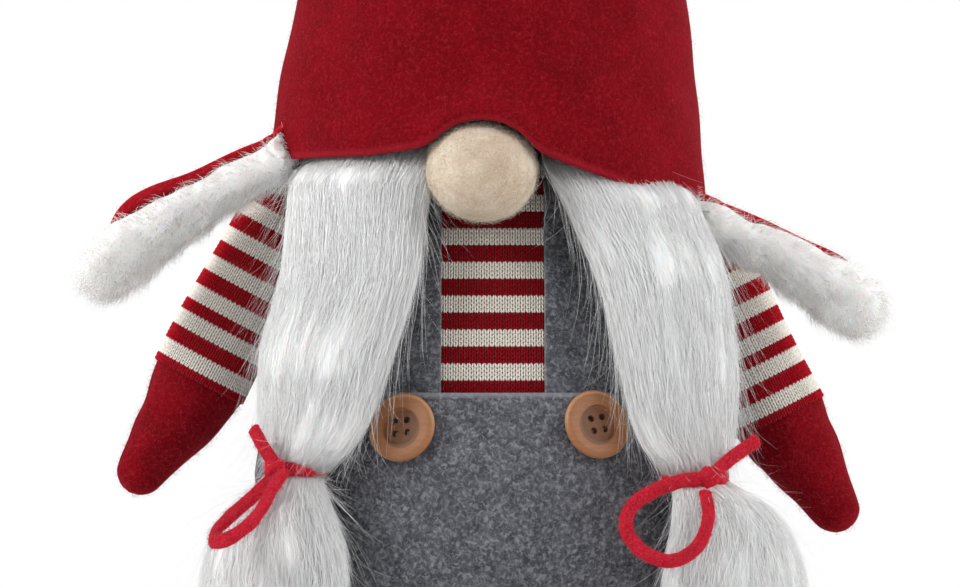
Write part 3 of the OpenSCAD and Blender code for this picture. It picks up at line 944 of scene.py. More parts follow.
def stitches(
    name: str, middle: Array, down: Array, out: Array, wale: float, course: float, band: Array
) -> bpy.types.Object:
    """Knit loops: two plump slanted grains to a stitch, which meet at its foot.

    A grain runs from (±0.37 wale, 0.95 course up) to (±0.15 wale, 0.80 course down), and its
    foot lies over the top of the next one.

    Args:
        name: The piece's name.
        middle: Middle of each stitch.
        down: Unit vector towards the stitch's foot.
        out: Outward normal.
        wale: Width of a stitch.
        course: Height of a stitch.
        band: 1 for pale yarn.

    Returns:
        The object.
    """
    across = np.cross(down, out)
    wide = np.broadcast_to(np.asarray(wale, float).reshape(-1, 1), (len(middle), 1))
    grains = []
    share = np.array([0, 0.28, 0.8, 1.0])
    full = np.array([0.92, 0.98])
    for way in (-1, 1):
        top = middle + way * 0.37 * wide * across - 0.95 * course * down
        foot = middle + way * 0.15 * wide * across + 0.80 * course * down
        line = top[:, None] + (foot - top)[:, None] * share[:, None]
        line = line + out[:, None] * ((share - 0.55) * 0.55 * MM * (1.2 - share))[:, None]
        heading = unit(foot - top)
        flank = np.cross(heading, out)
        ring = np.stack(
            [
                line[:, 1:3]
                + full[:, None] * k * 0.215 * wide[:, None] * flank[:, None]
                + full[:, None] * m * 0.42 * MM * out[:, None]
                for k, m in ((1, 0), (0, 1), (-1, 0), (0, -1))
            ],
            2,
        )
        grains.append(np.concatenate([ring.reshape(len(top), 8, 3), line[:, :1], line[:, 3:]], 1))
    points = np.concatenate(grains)
    per = points.shape[1]
    shift = (np.arange(len(points)) * per)[:, None, None]
    k = np.arange(4)
    caps = np.concatenate(
        [
            np.stack([(k + 1) % 4, k, np.full(4, 8)], -1),
            np.stack([4 + k, 4 + (k + 1) % 4, np.full(4, 9)], -1),
        ]
    )
    quads = ring_faces(2, 4)
    if volume(points[0], [quads, caps]) < 0:
        quads, caps = quads[:, ::-1], caps[:, ::-1]
    return make_mesh(
        name,
        points.reshape(-1, 3),
        [(quads[None] + shift).reshape(-1, 4), (caps[None] + shift).reshape(-1, 3)],
        band=np.repeat(np.tile(band, 2), per),
    )


@dataclass
class Sweater:
    """The striped sweater: a knitted shell all round, and real loops where it shows."""

    top: float = 0.281
    mean_r: float = 0.07
    half_width: float = 0.0225
    panel_top: float = 0.264
    columns: int = 200
    rows: int = 100

    def build(self) -> None:
        """Makes the shell and the two panels of loops."""
        z, r, run = TRUNK.outline(TRUNK.felt + 0.0003, self.top)
        at = np.linspace(run[-1] * 0.02, run[-1], self.rows)
        angle = circle(self.columns)
        height, reach = np.interp(at, run, z), np.interp(at, run, r)
        rings = faced(reach[:, None], angle, height[:, None])
        wales = round(ROUND * self.mean_r / WALE)
        around = np.repeat((angle / ROUND * wales)[None], self.rows, 0)
        shell, _, _ = closed_rings(
            "sweater_knit", rings, np.array([0, 0, z[0]]), np.array([0, 0, self.top]), around=around
        )
        settle(shell, SHADED_KNIT, "torso", ["sweater"])
        for facing, low in ((Facing.FRONT, 0.177), (Facing.BACK, 0.196)):
            self.panel(facing, low)

    def panel(self, facing: Facing, low: float) -> None:
        """Loops between the straps, from height low up to the hat."""
        xs = np.arange(-self.half_width, self.half_width, WALE)
        zs = COURSE * np.arange(round(low / COURSE), round(self.panel_top / COURSE))
        x, z = (v.ravel() for v in np.meshgrid(xs, zs))
        middle = TRUNK.at(x, z, facing, TRUNK.felt - 0.0001)
        out = TRUNK.normal(middle)
        down = unit(np.array([0, 0, -1.0]) - (-out[:, 2:]) * out)
        name = f"sweater_loops_{facing.tag}"
        piece = stitches(name, middle, down, out, WALE, COURSE, band_of(z))
        settle(piece, YARN, "torso")


@dataclass
class Dungarees:
    """Grey felt dungarees: the body with its bib, four strap ends and two legs."""

    bib_top: float = 0.180
    bib_half: float = 0.049
    side_top: float = 0.178
    back_top: float = 0.200
    armhole: float = 0.019
    gap_half: float = 0.0185
    leg_r: float = 0.025
    leg_top: float = 0.101
    hem_z: float = 0.030
    columns: int = 324
    rows: int = 118
    strap_edge: Sequence[tuple[float, float]] = (
        (0.170, 0.049), (0.204, 0.046), (0.226, 0.038), (0.245, 0.029), (0.274, 0.025),
    )

    def top_edge(self, angle: Array) -> Array:
        """Height of the felt's edge round the trunk, the armhole curve cut as a round bite."""
        x = np.abs(TRUNK.belly_r * np.sin(angle))
        front = np.cos(angle) > 0
        away = np.clip(x - self.bib_half - self.armhole, -self.armhole, self.armhole)
        bite = self.side_top - 0.006 - np.sqrt(self.armhole**2 - away**2)
        high = np.where(front, self.bib_top, self.back_top)
        beside = np.where(front, np.minimum(bite, self.side_top), self.side_top)
        edge = np.where(x < self.bib_half + np.where(front, 0, 0.004), high, beside)
        kernel = np.hanning(7)
        padded = np.concatenate([edge[-3:], edge, edge[:3]])
        return np.convolve(padded, kernel / kernel.sum(), "valid")

    def body(self) -> None:
        """The felt body, with soft dents and a fold along the bib's top."""
        angle = circle(self.columns)
        z, r, run = TRUNK.outline(0, 0.215)
        top_run = np.interp(self.top_edge(angle), z, run)
        share = np.linspace(0.02, 1, self.rows)[:, None]
        at = share * top_run[None]
        height, reach = np.interp(at, run, z), np.interp(at, run, r)
        flat = np.stack([np.sin(angle) + 0 * at, -np.cos(angle) + 0 * at], -1)
        place = np.concatenate([flat * reach[..., None], height[..., None]], -1)
        dents = 0.0006 * ripple(place, 0.045, 3) + 0.00035 * ripple(place, 0.017, 4)
        fold = 0.0021 * ease(at, top_run - 0.016, top_run - 0.001) * (np.cos(angle) > 0.5)
        place[..., :2] += flat * (dents + fold)[..., None]
        piece, points, faces = felt_wall(
            "dungarees_body", place, np.array([0, 0, TRUNK.low_z]), TRUNK.felt, 1
        )
        settle(piece, GREY_FELT, "torso", ["dungarees", "body_fill"])
        roots, normals = scatter(points, faces, 6500, 31)
        keep = outward(roots, normals) > 0.1
        GREY_DOWN.grow("dungarees_fuzz", roots[keep], normals[keep], 32, "torso")

    def strap(self, side: Side, facing: Facing) -> None:
        """One strap: a band of felt bent over the trunk, with rounded edges."""
        foot = (self.bib_top if facing is Facing.FRONT else self.back_top) - 0.004
        z = np.linspace(foot, self.strap_edge[-1][0], 70)
        table = np.array(self.strap_edge)
        outer = np.interp(z, table[:, 0], table[:, 1])
        turn = np.linspace(0, ROUND, 41)[:-1]
        middle, half = (outer + self.gap_half) / 2, (outer - self.gap_half) / 2
        lobe = squared(np.cos(turn), 0.28)
        x = side.value * (middle[:, None] + half[:, None] * lobe[None])
        lift = TRUNK.felt / 2 * squared(np.sin(turn), 0.6)
        height = np.repeat(z[:, None], 40, 1)
        place = TRUNK.at(x, height, facing, 0.0016)
        wave = 0.0003 * ripple(place, 0.03, 7 + side.value)
        place = place + TRUNK.normal(place) * (lift[None] + wave)[..., None]
        name = f"strap_{facing.tag}_{side.tag}"
        # attribute edge: the strap's side edges, lightened by the felt finish, partly for the cut edge's paler
        # fuzz, partly as a painted highlight
        edge = np.repeat(np.abs(np.cos(turn))[None] ** 24, len(z), 0)
        piece, *surface = closed_rings(f"{name}_felt", place, edge=edge)
        settle(piece, GREY_FELT, "torso", [name])
        GREY_DOWN.grow(f"{name}_fuzz", *scatter(*surface, 500, 41 + side.value), 42, "torso")

    def leg(self, side: Side) -> None:
        """A trouser leg: a soft felt tube with sagging folds and a turned hem."""
        angle = circle(96)
        z = np.linspace(self.leg_top, self.hem_z, 60)
        height, turn = z[:, None] + 0 * angle, angle + 0 * z[:, None]
        hem = ease(height, self.hem_z + 0.010, self.hem_z + 0.008)
        folds = 0.0009 * np.sin(height * 420 + 1.6 * np.sin(turn + side.value))
        reach = self.leg_r - 0.0006 + folds * ease(height, 0.034, 0.05) + 0.0006 * hem
        place = faced(reach, turn, height) + [side.value * LEG_X, 0, 0]
        name = f"trouser_leg_{side.tag}"
        pole = np.array([side.value * LEG_X, 0, self.leg_top + MM])
        piece, *surface = felt_wall(f"{name}_felt", place, pole, 0.002, -1)
        settle(piece, GREY_FELT, "torso", [name, f"leg_fill_{side.tag}"])
        LEG_DOWN.grow(f"{name}_fuzz", *scatter(*surface, 1000, 51 + side.value), 52, "torso")

    def build(self) -> None:
        """Makes every felt piece of the dungarees."""
        self.body()
        for side in Side:
            for facing in Facing:
                self.strap(side, facing)
            self.leg(side)


@dataclass
class Boots:
    """Red felt boots on dark soles."""

    half_width: float = 0.0215
    bulge: float = 0.0012
    toe: float = 0.034
    sole: float = 0.003
    top: float = 0.038

    def build(self) -> None:
        """Makes both uppers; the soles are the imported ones."""
        for side in Side:
            angle = circle(96)
            rise = np.linspace(0, 1, 50)[:, None]
            height = self.sole + (self.top - self.sole) * rise
            shaft = ease(height, 0.012, 0.0275)
            swell = self.bulge * np.sin(np.clip(rise * 3, 0, 1) * math.pi)
            half = (self.half_width - self.bulge) * (1 - 0.1 * shaft) + swell
            middle = -self.toe / 2 * (1 - shaft)
            long = half + self.toe / 2 * (1 - shaft) ** 0.8
            power = 1 - 0.22 * (1 - shaft)
            x = side.value * LEG_X + half * squared(np.cos(angle), power)
            y = middle + long * squared(np.sin(angle), power)
            place = np.stack([x, y, height + 0 * x], -1)
            soft = ripple(place, 0.02, 60 + side.value) * ease(rise, 0.05, 0.3)
            place[..., :2] += 0.0005 * soft[..., None]
            name = f"boot_{side.tag}"
            piece, *surface = closed_rings(f"{name}_felt", place)
            settle(piece, RED_FELT, "torso", [name])
            BOOT_DOWN.grow(f"{name}_fuzz", *scatter(*surface, 1200, 61 + side.value), 62, "torso")


# ---- Head ------------------------------------------------------------------


@dataclass
class Nose:
    """A needle-felted wool ball, pressed flat against the trunk behind."""

    middle: tuple[float, float, float] = (-0.004, -0.066, 0.260)
    radii: tuple[float, float, float] = (0.020, 0.020, 0.018)

    def build(self) -> None:
        """Makes the ball and its down: radius 1 + small dents, the back drawn in."""
        rise = np.linspace(0, math.pi, 66)[1:-1, None]
        ball = spun(np.sin(rise), circle(128), np.cos(rise))
        lumps = 1 + 0.016 * ripple(ball, 1.3, 71) + 0.010 * ripple(ball, 0.5, 72)
        lumps = lumps + 0.005 * ripple(ball, 0.2, 73)
        place = ball * lumps[..., None] * np.array(self.radii)
        place[..., 1] = np.minimum(place[..., 1], 0.016)
        middle = np.array(self.middle)
        ends = middle + [0, 0, self.radii[2]], middle - [0, 0, self.radii[2]]
        piece, points, faces = closed_rings("nose_ball", place + middle, *ends)
        settle(piece, NOSE_WOOL, "torso", ["nose"])
        roots, normals = scatter(points, faces, 5000, 74)
        keep = normals[:, 1] < 0.6
        NOSE_DOWN.grow("nose_down", roots[keep], normals[keep], 75, "torso")


@dataclass
class Hat:
    """The tall red felt hat, one sewn cone."""

    hem_r: float = 0.076
    base_z: float = 0.255
    tip_z: float = 0.600
    power: float = 1.5
    felt: float = 0.003
    bend_half: float = 0.03
    most_inward: float = 0.0018
    columns: int = 324
    rows: int = 170
    hem_front: Sequence[tuple[float, float]] = (
        (-0.090, 0.266), (-0.044, 0.267), (-0.022, 0.270), (0.019, 0.267),
        (0.052, 0.255), (0.076, 0.248), (0.090, 0.246),
    )

    def radius(self, z: Array) -> Array:
        """The cone's radius: hem radius · (1 - u^1.5), u from 0 at the base to 1 at the tip."""
        u = np.clip((z - self.base_z) / (self.tip_z - self.base_z), 0, 1)
        return self.hem_r * (1 - u**self.power)

    def hem(self, angle: Array) -> Array:
        """Height of the hem at each angle off straight ahead, with the arch over the nose."""
        x = self.hem_r * np.sin(angle)
        table = np.array(self.hem_front)
        front = np.interp(x, table[:, 0], table[:, 1])
        back = np.interp(x, (-0.090, 0.090), (0.266, 0.246))
        away = (x - NOSE.middle[0]) / 0.0212
        arch = NOSE.middle[2] + 0.0192 * np.sqrt(np.clip(1 - away**2, 0, 1))
        front = np.where(np.abs(away) < 1, np.maximum(front, arch), front)
        edge = np.where(np.cos(angle) > 0, front, back)
        kernel = np.hanning(11)
        return np.convolve(np.concatenate([edge[-5:], edge, edge[:5]]), kernel / kernel.sum(), "valid")

    def flare(self, off: Array, above: Array) -> Array:
        """How far the cloth stands out, mostly above the left ear flap."""
        return 0.0012 + 0.0048 * np.exp(-(((off + 1.5) / 0.6) ** 2) - (above / 0.050) ** 2)

    def skin(self, points: Array) -> tuple[Array, Array, Array]:
        """The hat's radius beside points, their distance from its axis, and height above its hem."""
        off = np.arctan2(points[..., 0], -points[..., 1])
        around = np.linspace(-math.pi, math.pi, 721)[:-1]
        above = points[..., 2] - np.interp(off, around, self.hem(around))
        reach = np.hypot(points[..., 0], points[..., 1])
        return self.radius(points[..., 2]) + self.flare(off, above), reach, above

    def surface(self) -> Array:
        """The outer grid from the tip down to the hem, with its folds and the lip over the nose."""
        angle = circle(self.columns)
        share = np.linspace(0.004, 1, self.rows)[:, None] ** 0.9
        z = self.tip_z + (self.hem(angle)[None] - self.tip_z) * share
        off = (angle + math.pi) % ROUND - math.pi
        flat = np.stack([np.sin(angle) + 0 * z, -np.cos(angle) + 0 * z], -1)
        reach = np.maximum(self.radius(z), 0.0012)
        place = np.concatenate([flat * reach[..., None], z[..., None]], -1)
        above = z - self.hem(angle)[None]
        x = place[..., 0] - NOSE.middle[0]
        ahead = np.cos(off) > 0
        lip = 0.0038 * np.exp(-((x / 0.023) ** 4)) * np.exp(-(((above - 0.0025) / 0.0055) ** 2)) * ahead
        valley = -0.0016 * np.exp(-((x / 0.030) ** 2)) * np.exp(-(((above - 0.017) / 0.009) ** 2)) * ahead
        flare = self.flare(off, above)
        sag = 0.0016 * np.sin(3 * off + 9 * z / 0.1) * ease(z, 0.30, 0.42) * ease(z, 0.60, 0.5)
        soft = 0.0009 * ripple(place, 0.09, 81) + 0.0005 * ripple(place, 0.03, 82)
        fade = np.clip(reach / 0.02, 0, 1)
        moved = np.maximum(lip + valley + flare + sag + soft, -self.most_inward)
        place[..., :2] += flat * (moved * fade)[..., None]
        return place

    def build(self) -> None:
        """Makes the hat and its fuzz; neither is fixed to a body."""
        place = self.surface()
        tip = np.array([0, 0, self.tip_z])
        piece, points, faces = felt_wall("hat_felt", place, tip, self.felt, -1, 9)
        stood_for = ["hat_crown", "hat_point", "hat_fill", "hat_point_fill"]
        settle(piece, RED_FELT, None, stood_for)
        roots, normals = scatter(points, faces, 10000, 83)
        keep = outward(roots, normals) > 0.1
        down = RED_DOWN.grow("hat_fuzz", roots[keep], normals[keep], 84, None)
        for part in (piece, down):
            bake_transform(part)


@dataclass
class EarFlap:
    """One ear flap: felt above, long-piled plush below, sewn to the hat's hem."""

    side: Side
    place: tuple[float, float, float]
    slope: float
    turn: float
    length: float
    width: float = 0.034
    root_half: float = 0.013
    felt: float = 0.0025
    plush: float = 0.010
    slack: float = 0.006
    roundness: float = 0.62

    def set(self, points: Array) -> Array:
        """Points on the flap's own axes carried to their place on the hat."""
        out = turned(turned(points, -self.turn, 0), self.slope, 1)
        if self.side is Side.LEFT:
            out = out * [-1, 1, 1]
        return out + np.array(self.place)

    def slab(
        self, low: float, high: float, grow: float, wider: float, bulge: float, start: float
    ) -> Array:
        """Rings round a rounded tongue from root to tip; its middle is arched.

        Args:
            low: Height of its lower face.
            high: Height of its upper face.
            grow: How much longer it is than the flap.
            wider: How much wider each half is than the flap's.
            bulge: How much fuller it is in the middle, as a share of its thickness.
            start: Where it begins along the flap, below 0 on the hat's side of the seam.

        Returns:
            Points as (ring, place on it, coordinate) on the flap's own axes.
        """
        share = np.linspace(0, 1, 84)[:, None]
        along = start + (self.length + grow - start) * np.sin(share * math.pi / 2)
        end_r = self.width / 2 + wider
        root_r = self.root_half + wider
        side_w = root_r + (end_r - root_r) * ease(along, 0, self.length * 0.7)
        past = np.clip((along - (self.length + grow - end_r)) / end_r, 0, 1)
        half = side_w * np.sqrt(np.maximum(1 - past**2.4, 0.0004))
        turn = circle(60)
        y = half * squared(np.cos(turn), self.roundness)
        y = y + self.slack * ease(-y, 0, self.root_half) * (1 - ease(along, 0.030, 0.075))
        low = low * (1 + 0.35 * ease(along, 0.01, self.length)) if low < -self.felt else low
        thick = (high - low) / 2 * np.sqrt(np.maximum(1 - past**3, 0.02))
        middle = (high + low) / 2
        swell = 1 + bulge * (1 - (y / np.maximum(half, 1e-6)) ** 2)
        z = middle + thick * squared(np.sin(turn), self.roundness) * swell
        run = along / self.length
        arch = 0.003 * np.sin(np.clip(run, 0, 1) * math.pi) - 0.004 * run**2
        return np.stack([along + 0 * y, y, z + arch], -1)

    def laid(self, raw: Array, lift: float, front: Array | float = 0.0) -> Array:
        """The flap in place: its root turns up and lies on the outside of the hat.

        Args:
            raw: The points on the flap's own axes.
            lift: How far the whole of it stands off the hat.
            front: The share, 0 to 1, that stands proud of the hat and its felt.

        Returns:
            The points in their place.
        """
        place = self.set(raw)
        past = np.maximum(0.004 - raw[..., 0], 0)
        past = past**2 / (past + 0.004)
        place[..., 0] += self.side.value * 0.85 * past * (1 - 1.3 * front)
        place[..., 2] += past * (0.40 - front)
        radius, reach, above = HAT.skin(place)
        sunk = 0.0042 * ease(past, 0.003, 0.010) - np.clip(raw[..., 2], -0.004, None)
        proud = 0.0026 + 0.40 * (raw[..., 2] + self.plush)
        wanted = radius + lift - sunk * (1 - front) + proud * front
        hug = ease(past, 0.0005, 0.004)
        outside = np.maximum(reach, radius + lift) * (1 - hug) + wanted * hug
        wanted = np.where(above > -0.003, outside, reach)
        place[..., :2] *= (wanted / reach)[..., None]
        return place

    def build(self) -> None:
        """Makes the felt, which is sewn to the hat, the plush bed and its tufts."""
        tag, body = self.side.tag, f"flap_{self.side.tag}"
        left = self.side is Side.LEFT
        grow, wider, curl = (-0.011, -0.0008, 0.0010) if left else (-0.013, -0.0055, 0.0)
        raw = self.slab(0.0, self.felt, grow, wider, 0.0, -0.016)
        raw[..., 2] += curl * ease(-raw[..., 1], 0.003, 0.017) * ease(raw[..., 0], 0.004, 0.02)
        top = self.laid(raw, 0.0004)
        top[..., 2] += 0.0006 * ripple(top, 0.03, 91)
        felt, *surface = closed_rings(f"earflap_{tag}_felt", top)
        settle(felt, FLAP_FELT_LIT, None, [f"earflap_felt_{tag}"])
        down = RED_DOWN.grow(f"earflap_{tag}_fuzz", *scatter(*surface, 1200, 92), 93, None)
        base, tufts = self.make_plush()
        start = np.array(self.place) + [0, 0, 0.007]
        for part in (felt, down, base, tufts):
            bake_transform(part)

    def make_plush(self) -> tuple[bpy.types.Object, bpy.types.Object]:
        """The lumpy bed of the plush and the tufts that stand on it."""
        tag = self.side.tag
        left = self.side is Side.LEFT
        grow, shift = (0.006, 0.0008) if left else (0.002, 0.0006)
        raw = self.slab(-self.plush + MM, -0.0002, grow, 0.0, 0.12, -0.011)
        raw[..., 1] = raw[..., 1] * 0.95 + shift
        turned_out = ease(-raw[..., 1], -0.002, 0.007) if left else 0.0
        bed = self.laid(raw, 0.0006, turned_out)
        lumps = 0.0009 * ripple(bed, 0.016, 94) + 0.0004 * ripple(bed, 0.007, 97)
        bed = bed + grid_normals(bed) * self.side.value * lumps[..., None]
        flow = np.stack([raw[..., 0] * 160, raw[..., 1] * 420, raw[..., 2] * 420], -1)
        base, *surface = closed_rings(f"earflap_{tag}_plush", bed, flow=flow)
        settle(base, PLUSH_BED, None, [f"earflap_fur_{tag}"])
        roots, normals = scatter(*surface, 9500, 95)
        along, zero = self.set(np.array([[1.0, 0, 0], [0, 0, 0]]))
        lean = unit(along - zero) * 0.5 + [0, -0.1, -0.4]
        lean = lean + 0.9 * np.stack([ripple(roots, 0.011, 140 + k) for k in range(3)], -1)
        up = self.set(np.array([[0, 0, 1.0]])) - zero
        keep = (normals * up).sum(-1) < 0.6
        roots, normals, lean = roots[keep], normals[keep], lean[keep]
        name = f"earflap_{tag}_tufts"
        tufts = fuzz(name, roots, normals, (0.0018, 0.0050), 0.00009, 0.95, 96, lean, 4)
        return base, settle(tufts, PLUSH, None)


# ---- Arms ------------------------------------------------------------------


@dataclass
class Arm:
    """An arm: a striped knit sleeve and a red felt mitten, hanging from the shoulder."""

    side: Side
    shoulder: tuple[float, float, float]
    spread: float
    radius: float = 0.0175
    sleeve: float = 0.072
    mitten: float = 0.049
    end_r: float = 0.0075
    dent: float = 0.0006

    def set(self, points: Array) -> Array:
        """Points of an arm made hanging down -Z carried to the shoulder."""
        return turned(points, -self.side.value * self.spread, 1) + np.array(self.shoulder)

    def sleeve_radius(self, down: Array) -> Array:
        """Radius at a distance below the shoulder: a dome on top, then slowly wider."""
        t = np.clip((down + 0.009) / 0.024, 0, 1)
        dome = self.radius * np.sqrt(1 - (1 - t) ** 2)
        return dome + 0.001 * ease(down, 0.015, self.sleeve)

    def band(self, down: Array) -> Array:
        """1 where the sleeve's yarn is pale, counted in courses from the cuff."""
        from_cuff = (self.sleeve - down) / COURSE - 1.2
        return ((from_cuff > 0) & (from_cuff % COURSES < COURSES / 2)).astype(float)

    def dented(self, points: Array) -> Array:
        """The sleeve's points with its soft dents."""
        grow = 1 + self.dent * ripple(points, 0.04, 101) / self.radius
        return points * np.stack([grow, grow, np.ones_like(grow)], -1)

    def make_sleeve(self) -> None:
        """The knitted tube and its loops."""
        down = np.linspace(-0.0088, self.sleeve + 0.001, 70)
        turn = circle(96)
        reach = self.sleeve_radius(down) - 0.0004
        ring = self.dented(spun(reach[:, None], turn, -down[:, None]))
        band = np.repeat(self.band(down)[:, None], len(turn), 1)
        tag = self.side.tag
        piece, *_ = closed_rings(f"sleeve_{tag}_knit", self.set(ring), band=band)
        settle(piece, SHADED_LINING, f"arm_{tag}", [f"sleeve_{tag}"])
        wales = round(ROUND * self.radius / WALE)
        rows = self.sleeve - COURSE * (np.arange(int((self.sleeve + 2 * MM) / COURSE)) + 0.2)
        d, a = (v.ravel() for v in np.meshgrid(rows, circle(wales)))
        r = self.sleeve_radius(d) - 0.0002
        middle = self.dented(spun(r, a, -d))
        slope = (self.sleeve_radius(d + MM) - self.sleeve_radius(d - MM)) / (2 * MM)
        out = unit(np.stack([np.cos(a), np.sin(a), slope], -1))
        foot = unit(np.array([0, 0, -1.0]) + out[:, 2:] * out)
        width = (ROUND * r / wales)[:, None]
        zero = self.set(np.zeros((1, 3)))
        ways = self.set(foot) - zero, self.set(out) - zero
        piece = stitches(f"sleeve_{tag}_loops", self.set(middle), *ways, width, COURSE, self.band(d))
        settle(piece, SLEEVE_YARN_LIT, f"arm_{tag}")

    def make_mitten(self) -> None:
        """The mitten: round at the cuff, narrowing to a blunt end, with a sewn outer ridge."""
        share = np.linspace(0, 1, 80)
        down = self.sleeve - MM + (self.mitten + MM) * share
        tip = self.end_r - MM
        straight = self.radius + 0.0002 + (tip - self.radius) * (0.75 * share + 0.25 * share**2)
        past = np.clip((down - (self.sleeve + self.mitten - tip)) / tip, 0, 1)
        reach = straight * np.sqrt(np.maximum(1 - past**2.2, 0.001))
        turn = circle(120)
        seam = 0 if self.side is Side.RIGHT else math.pi
        off = (turn - seam + math.pi) % ROUND - math.pi
        ridge = 0.0009 * np.exp(-((off / 0.05) ** 2)) - 0.0006 * np.exp(-((off / 0.16) ** 2))
        r = reach[:, None] + ridge[None] * ease(share, 0.02, 0.15)[:, None]
        ring = spun(r, turn, -down[:, None])
        ring[..., 1] *= (1 - 0.12 * ease(share, 0.2, 1))[:, None]
        folds = 0.0011 * ripple(ring, 0.035, 111 + self.side.value) + 0.0005 * ripple(ring, 0.014, 113)
        ring[..., :2] *= (1 + folds / 0.016 * ease(share, 0.05, 0.3)[:, None])[..., None]
        ring[..., 0] += self.side.value * 0.0035 * ease(share, 0.2, 1)[:, None]
        tag = self.side.tag
        piece, *surface = closed_rings(f"mitten_{tag}_felt", self.set(ring))
        settle(piece, RED_FELT, f"arm_{tag}", [f"mitt_{tag}", f"arm_fill_{tag}"])
        RED_DOWN.grow(f"mitten_{tag}_fuzz", *scatter(*surface, 1900, 115), 116, f"arm_{tag}")

    def build(self) -> None:
        """Makes the sleeve and the mitten."""
        self.make_sleeve()
        self.make_mitten()


# ---- Hair and ties ---------------------------------------------------------


@dataclass
class Tress:
    """A bundle of hair that follows rings round the trunk.

    Each ring is [height, angle off straight ahead, distance from the middle, half width
    along the trunk, half depth], in millimetres and degrees.
    """

    name: str
    side: Side
    rings: Sequence[Sequence[float]]
    count: int
    stray: int
    seed: int
    grooves: float = 0.05
    short_share: float = 0.35
    clumps: int = 60

    def at(self, level: Array, turn: Array, depth: Array) -> Array:
        """Points in the tress: level counts rings, turn goes round them, depth is 1 at the skin."""
        rows = smooth_rows(np.array(self.rings, float), level)
        z, angle, reach, half_w, half_d = np.moveaxis(rows, -1, 0)
        r = reach + depth * half_d * np.sin(turn)
        off = np.radians(angle) + depth * half_w * np.cos(turn) / reach
        return np.stack([self.side.value * r * np.sin(off), -r * np.cos(off), z + 0 * r], -1) * MM

    def bed(self) -> bpy.types.Object:
        """The dense body of the tress, grooved along its length."""
        last = len(self.rings) - 1
        level, turn = np.meshgrid(np.linspace(0, last, 76), circle(100), indexing="ij")
        lock = np.sin(turn * 7 + 1.3 * np.sin(level * 1.1 + self.seed))
        lock = lock + 0.7 * np.sin(turn * 17 + 2 * np.sin(level * 0.9))
        place = self.at(level, turn, 0.955 + self.grooves * 0.5 * lock)
        flow = spun(11 + 0 * turn, turn, level * 0.55)
        return closed_rings(f"{self.name}_bed", place, flow=flow)[0]

    def hairs(self) -> bpy.types.Object:
        """Strands from root to gather; some stop short with their tips turned out."""
        rng = np.random.default_rng(self.seed)
        n, steps, last = self.count, 6, len(self.rings) - 1
        t = np.linspace(0, 1, steps)[None]
        short = rng.uniform(size=(n, 1)) < self.short_share
        start = np.where(short, rng.uniform(0, 0.45, (n, 1)), rng.uniform(0, 0.06, (n, 1))) * last
        part_way, to_end = rng.uniform(0.3, 0.55, (n, 1)), rng.uniform(0.985, 1.0, (n, 1))
        end = np.minimum(np.where(short, start + part_way * last, last * to_end), last)
        level = start + (end - start) * t
        clump = rng.integers(0, self.clumps, (n, 1)) / self.clumps * ROUND
        turn = clump + rng.normal(0, 0.07, (n, 1))
        turn = turn + 0.16 * np.sin(t * rng.uniform(2, 5, (n, 1)) + rng.uniform(0, ROUND, (n, 1)))
        depth = rng.uniform(0.94, 1.01, (n, 1)) + 0.02 * np.sin(t * 4 + rng.uniform(0, ROUND, (n, 1)))
        depth = depth + np.where(short, 0.10 * t**3, 0.0)
        paths = self.at(level, turn, depth)
        taper = np.array([0.8, 1, 1, 0.9, 0.6, 0.3])[None] * rng.uniform(0.06, 0.11, (n, 1)) * MM
        return strands(f"{self.name}_hairs", paths, taper, rng.uniform(size=n), self.seed + 1)

    def strays(self) -> bpy.types.Object:
        """Thin fly-away hairs that leave the tress in a slow curve."""
        rng = np.random.default_rng(self.seed + 5)
        n, steps, last = self.stray, 6, len(self.rings) - 1
        t = np.linspace(0, 1, steps)[None]
        start = rng.uniform(0.02, 0.75, (n, 1)) * last
        level = np.minimum(start + rng.uniform(0.1, 0.38, (n, 1)) * last * t, last)
        turn = rng.uniform(0, ROUND, (n, 1)) + rng.normal(0, 0.5, (n, 1)) * t
        paths = self.at(level, turn, np.ones((n, 1)) * 0.97)
        middle = self.at(level, turn, np.zeros((n, 1)))
        out = unit(paths[:, :1] - middle[:, :1])
        away = 0.002 + 0.016 * rng.uniform(size=(n, 1, 1)) ** 2 * t[..., None] ** 1.5
        drift = rng.normal(0, 0.0055, (n, 1, 3)) * t[..., None] ** 2
        paths = paths + out * away * t[..., None] ** 0.5 + drift
        taper = np.linspace(1, 0.4, steps)[None] * rng.uniform(0.035, 0.06, (n, 1)) * MM
        return strands(f"{self.name}_strays", paths, taper, rng.uniform(size=n), self.seed + 6)


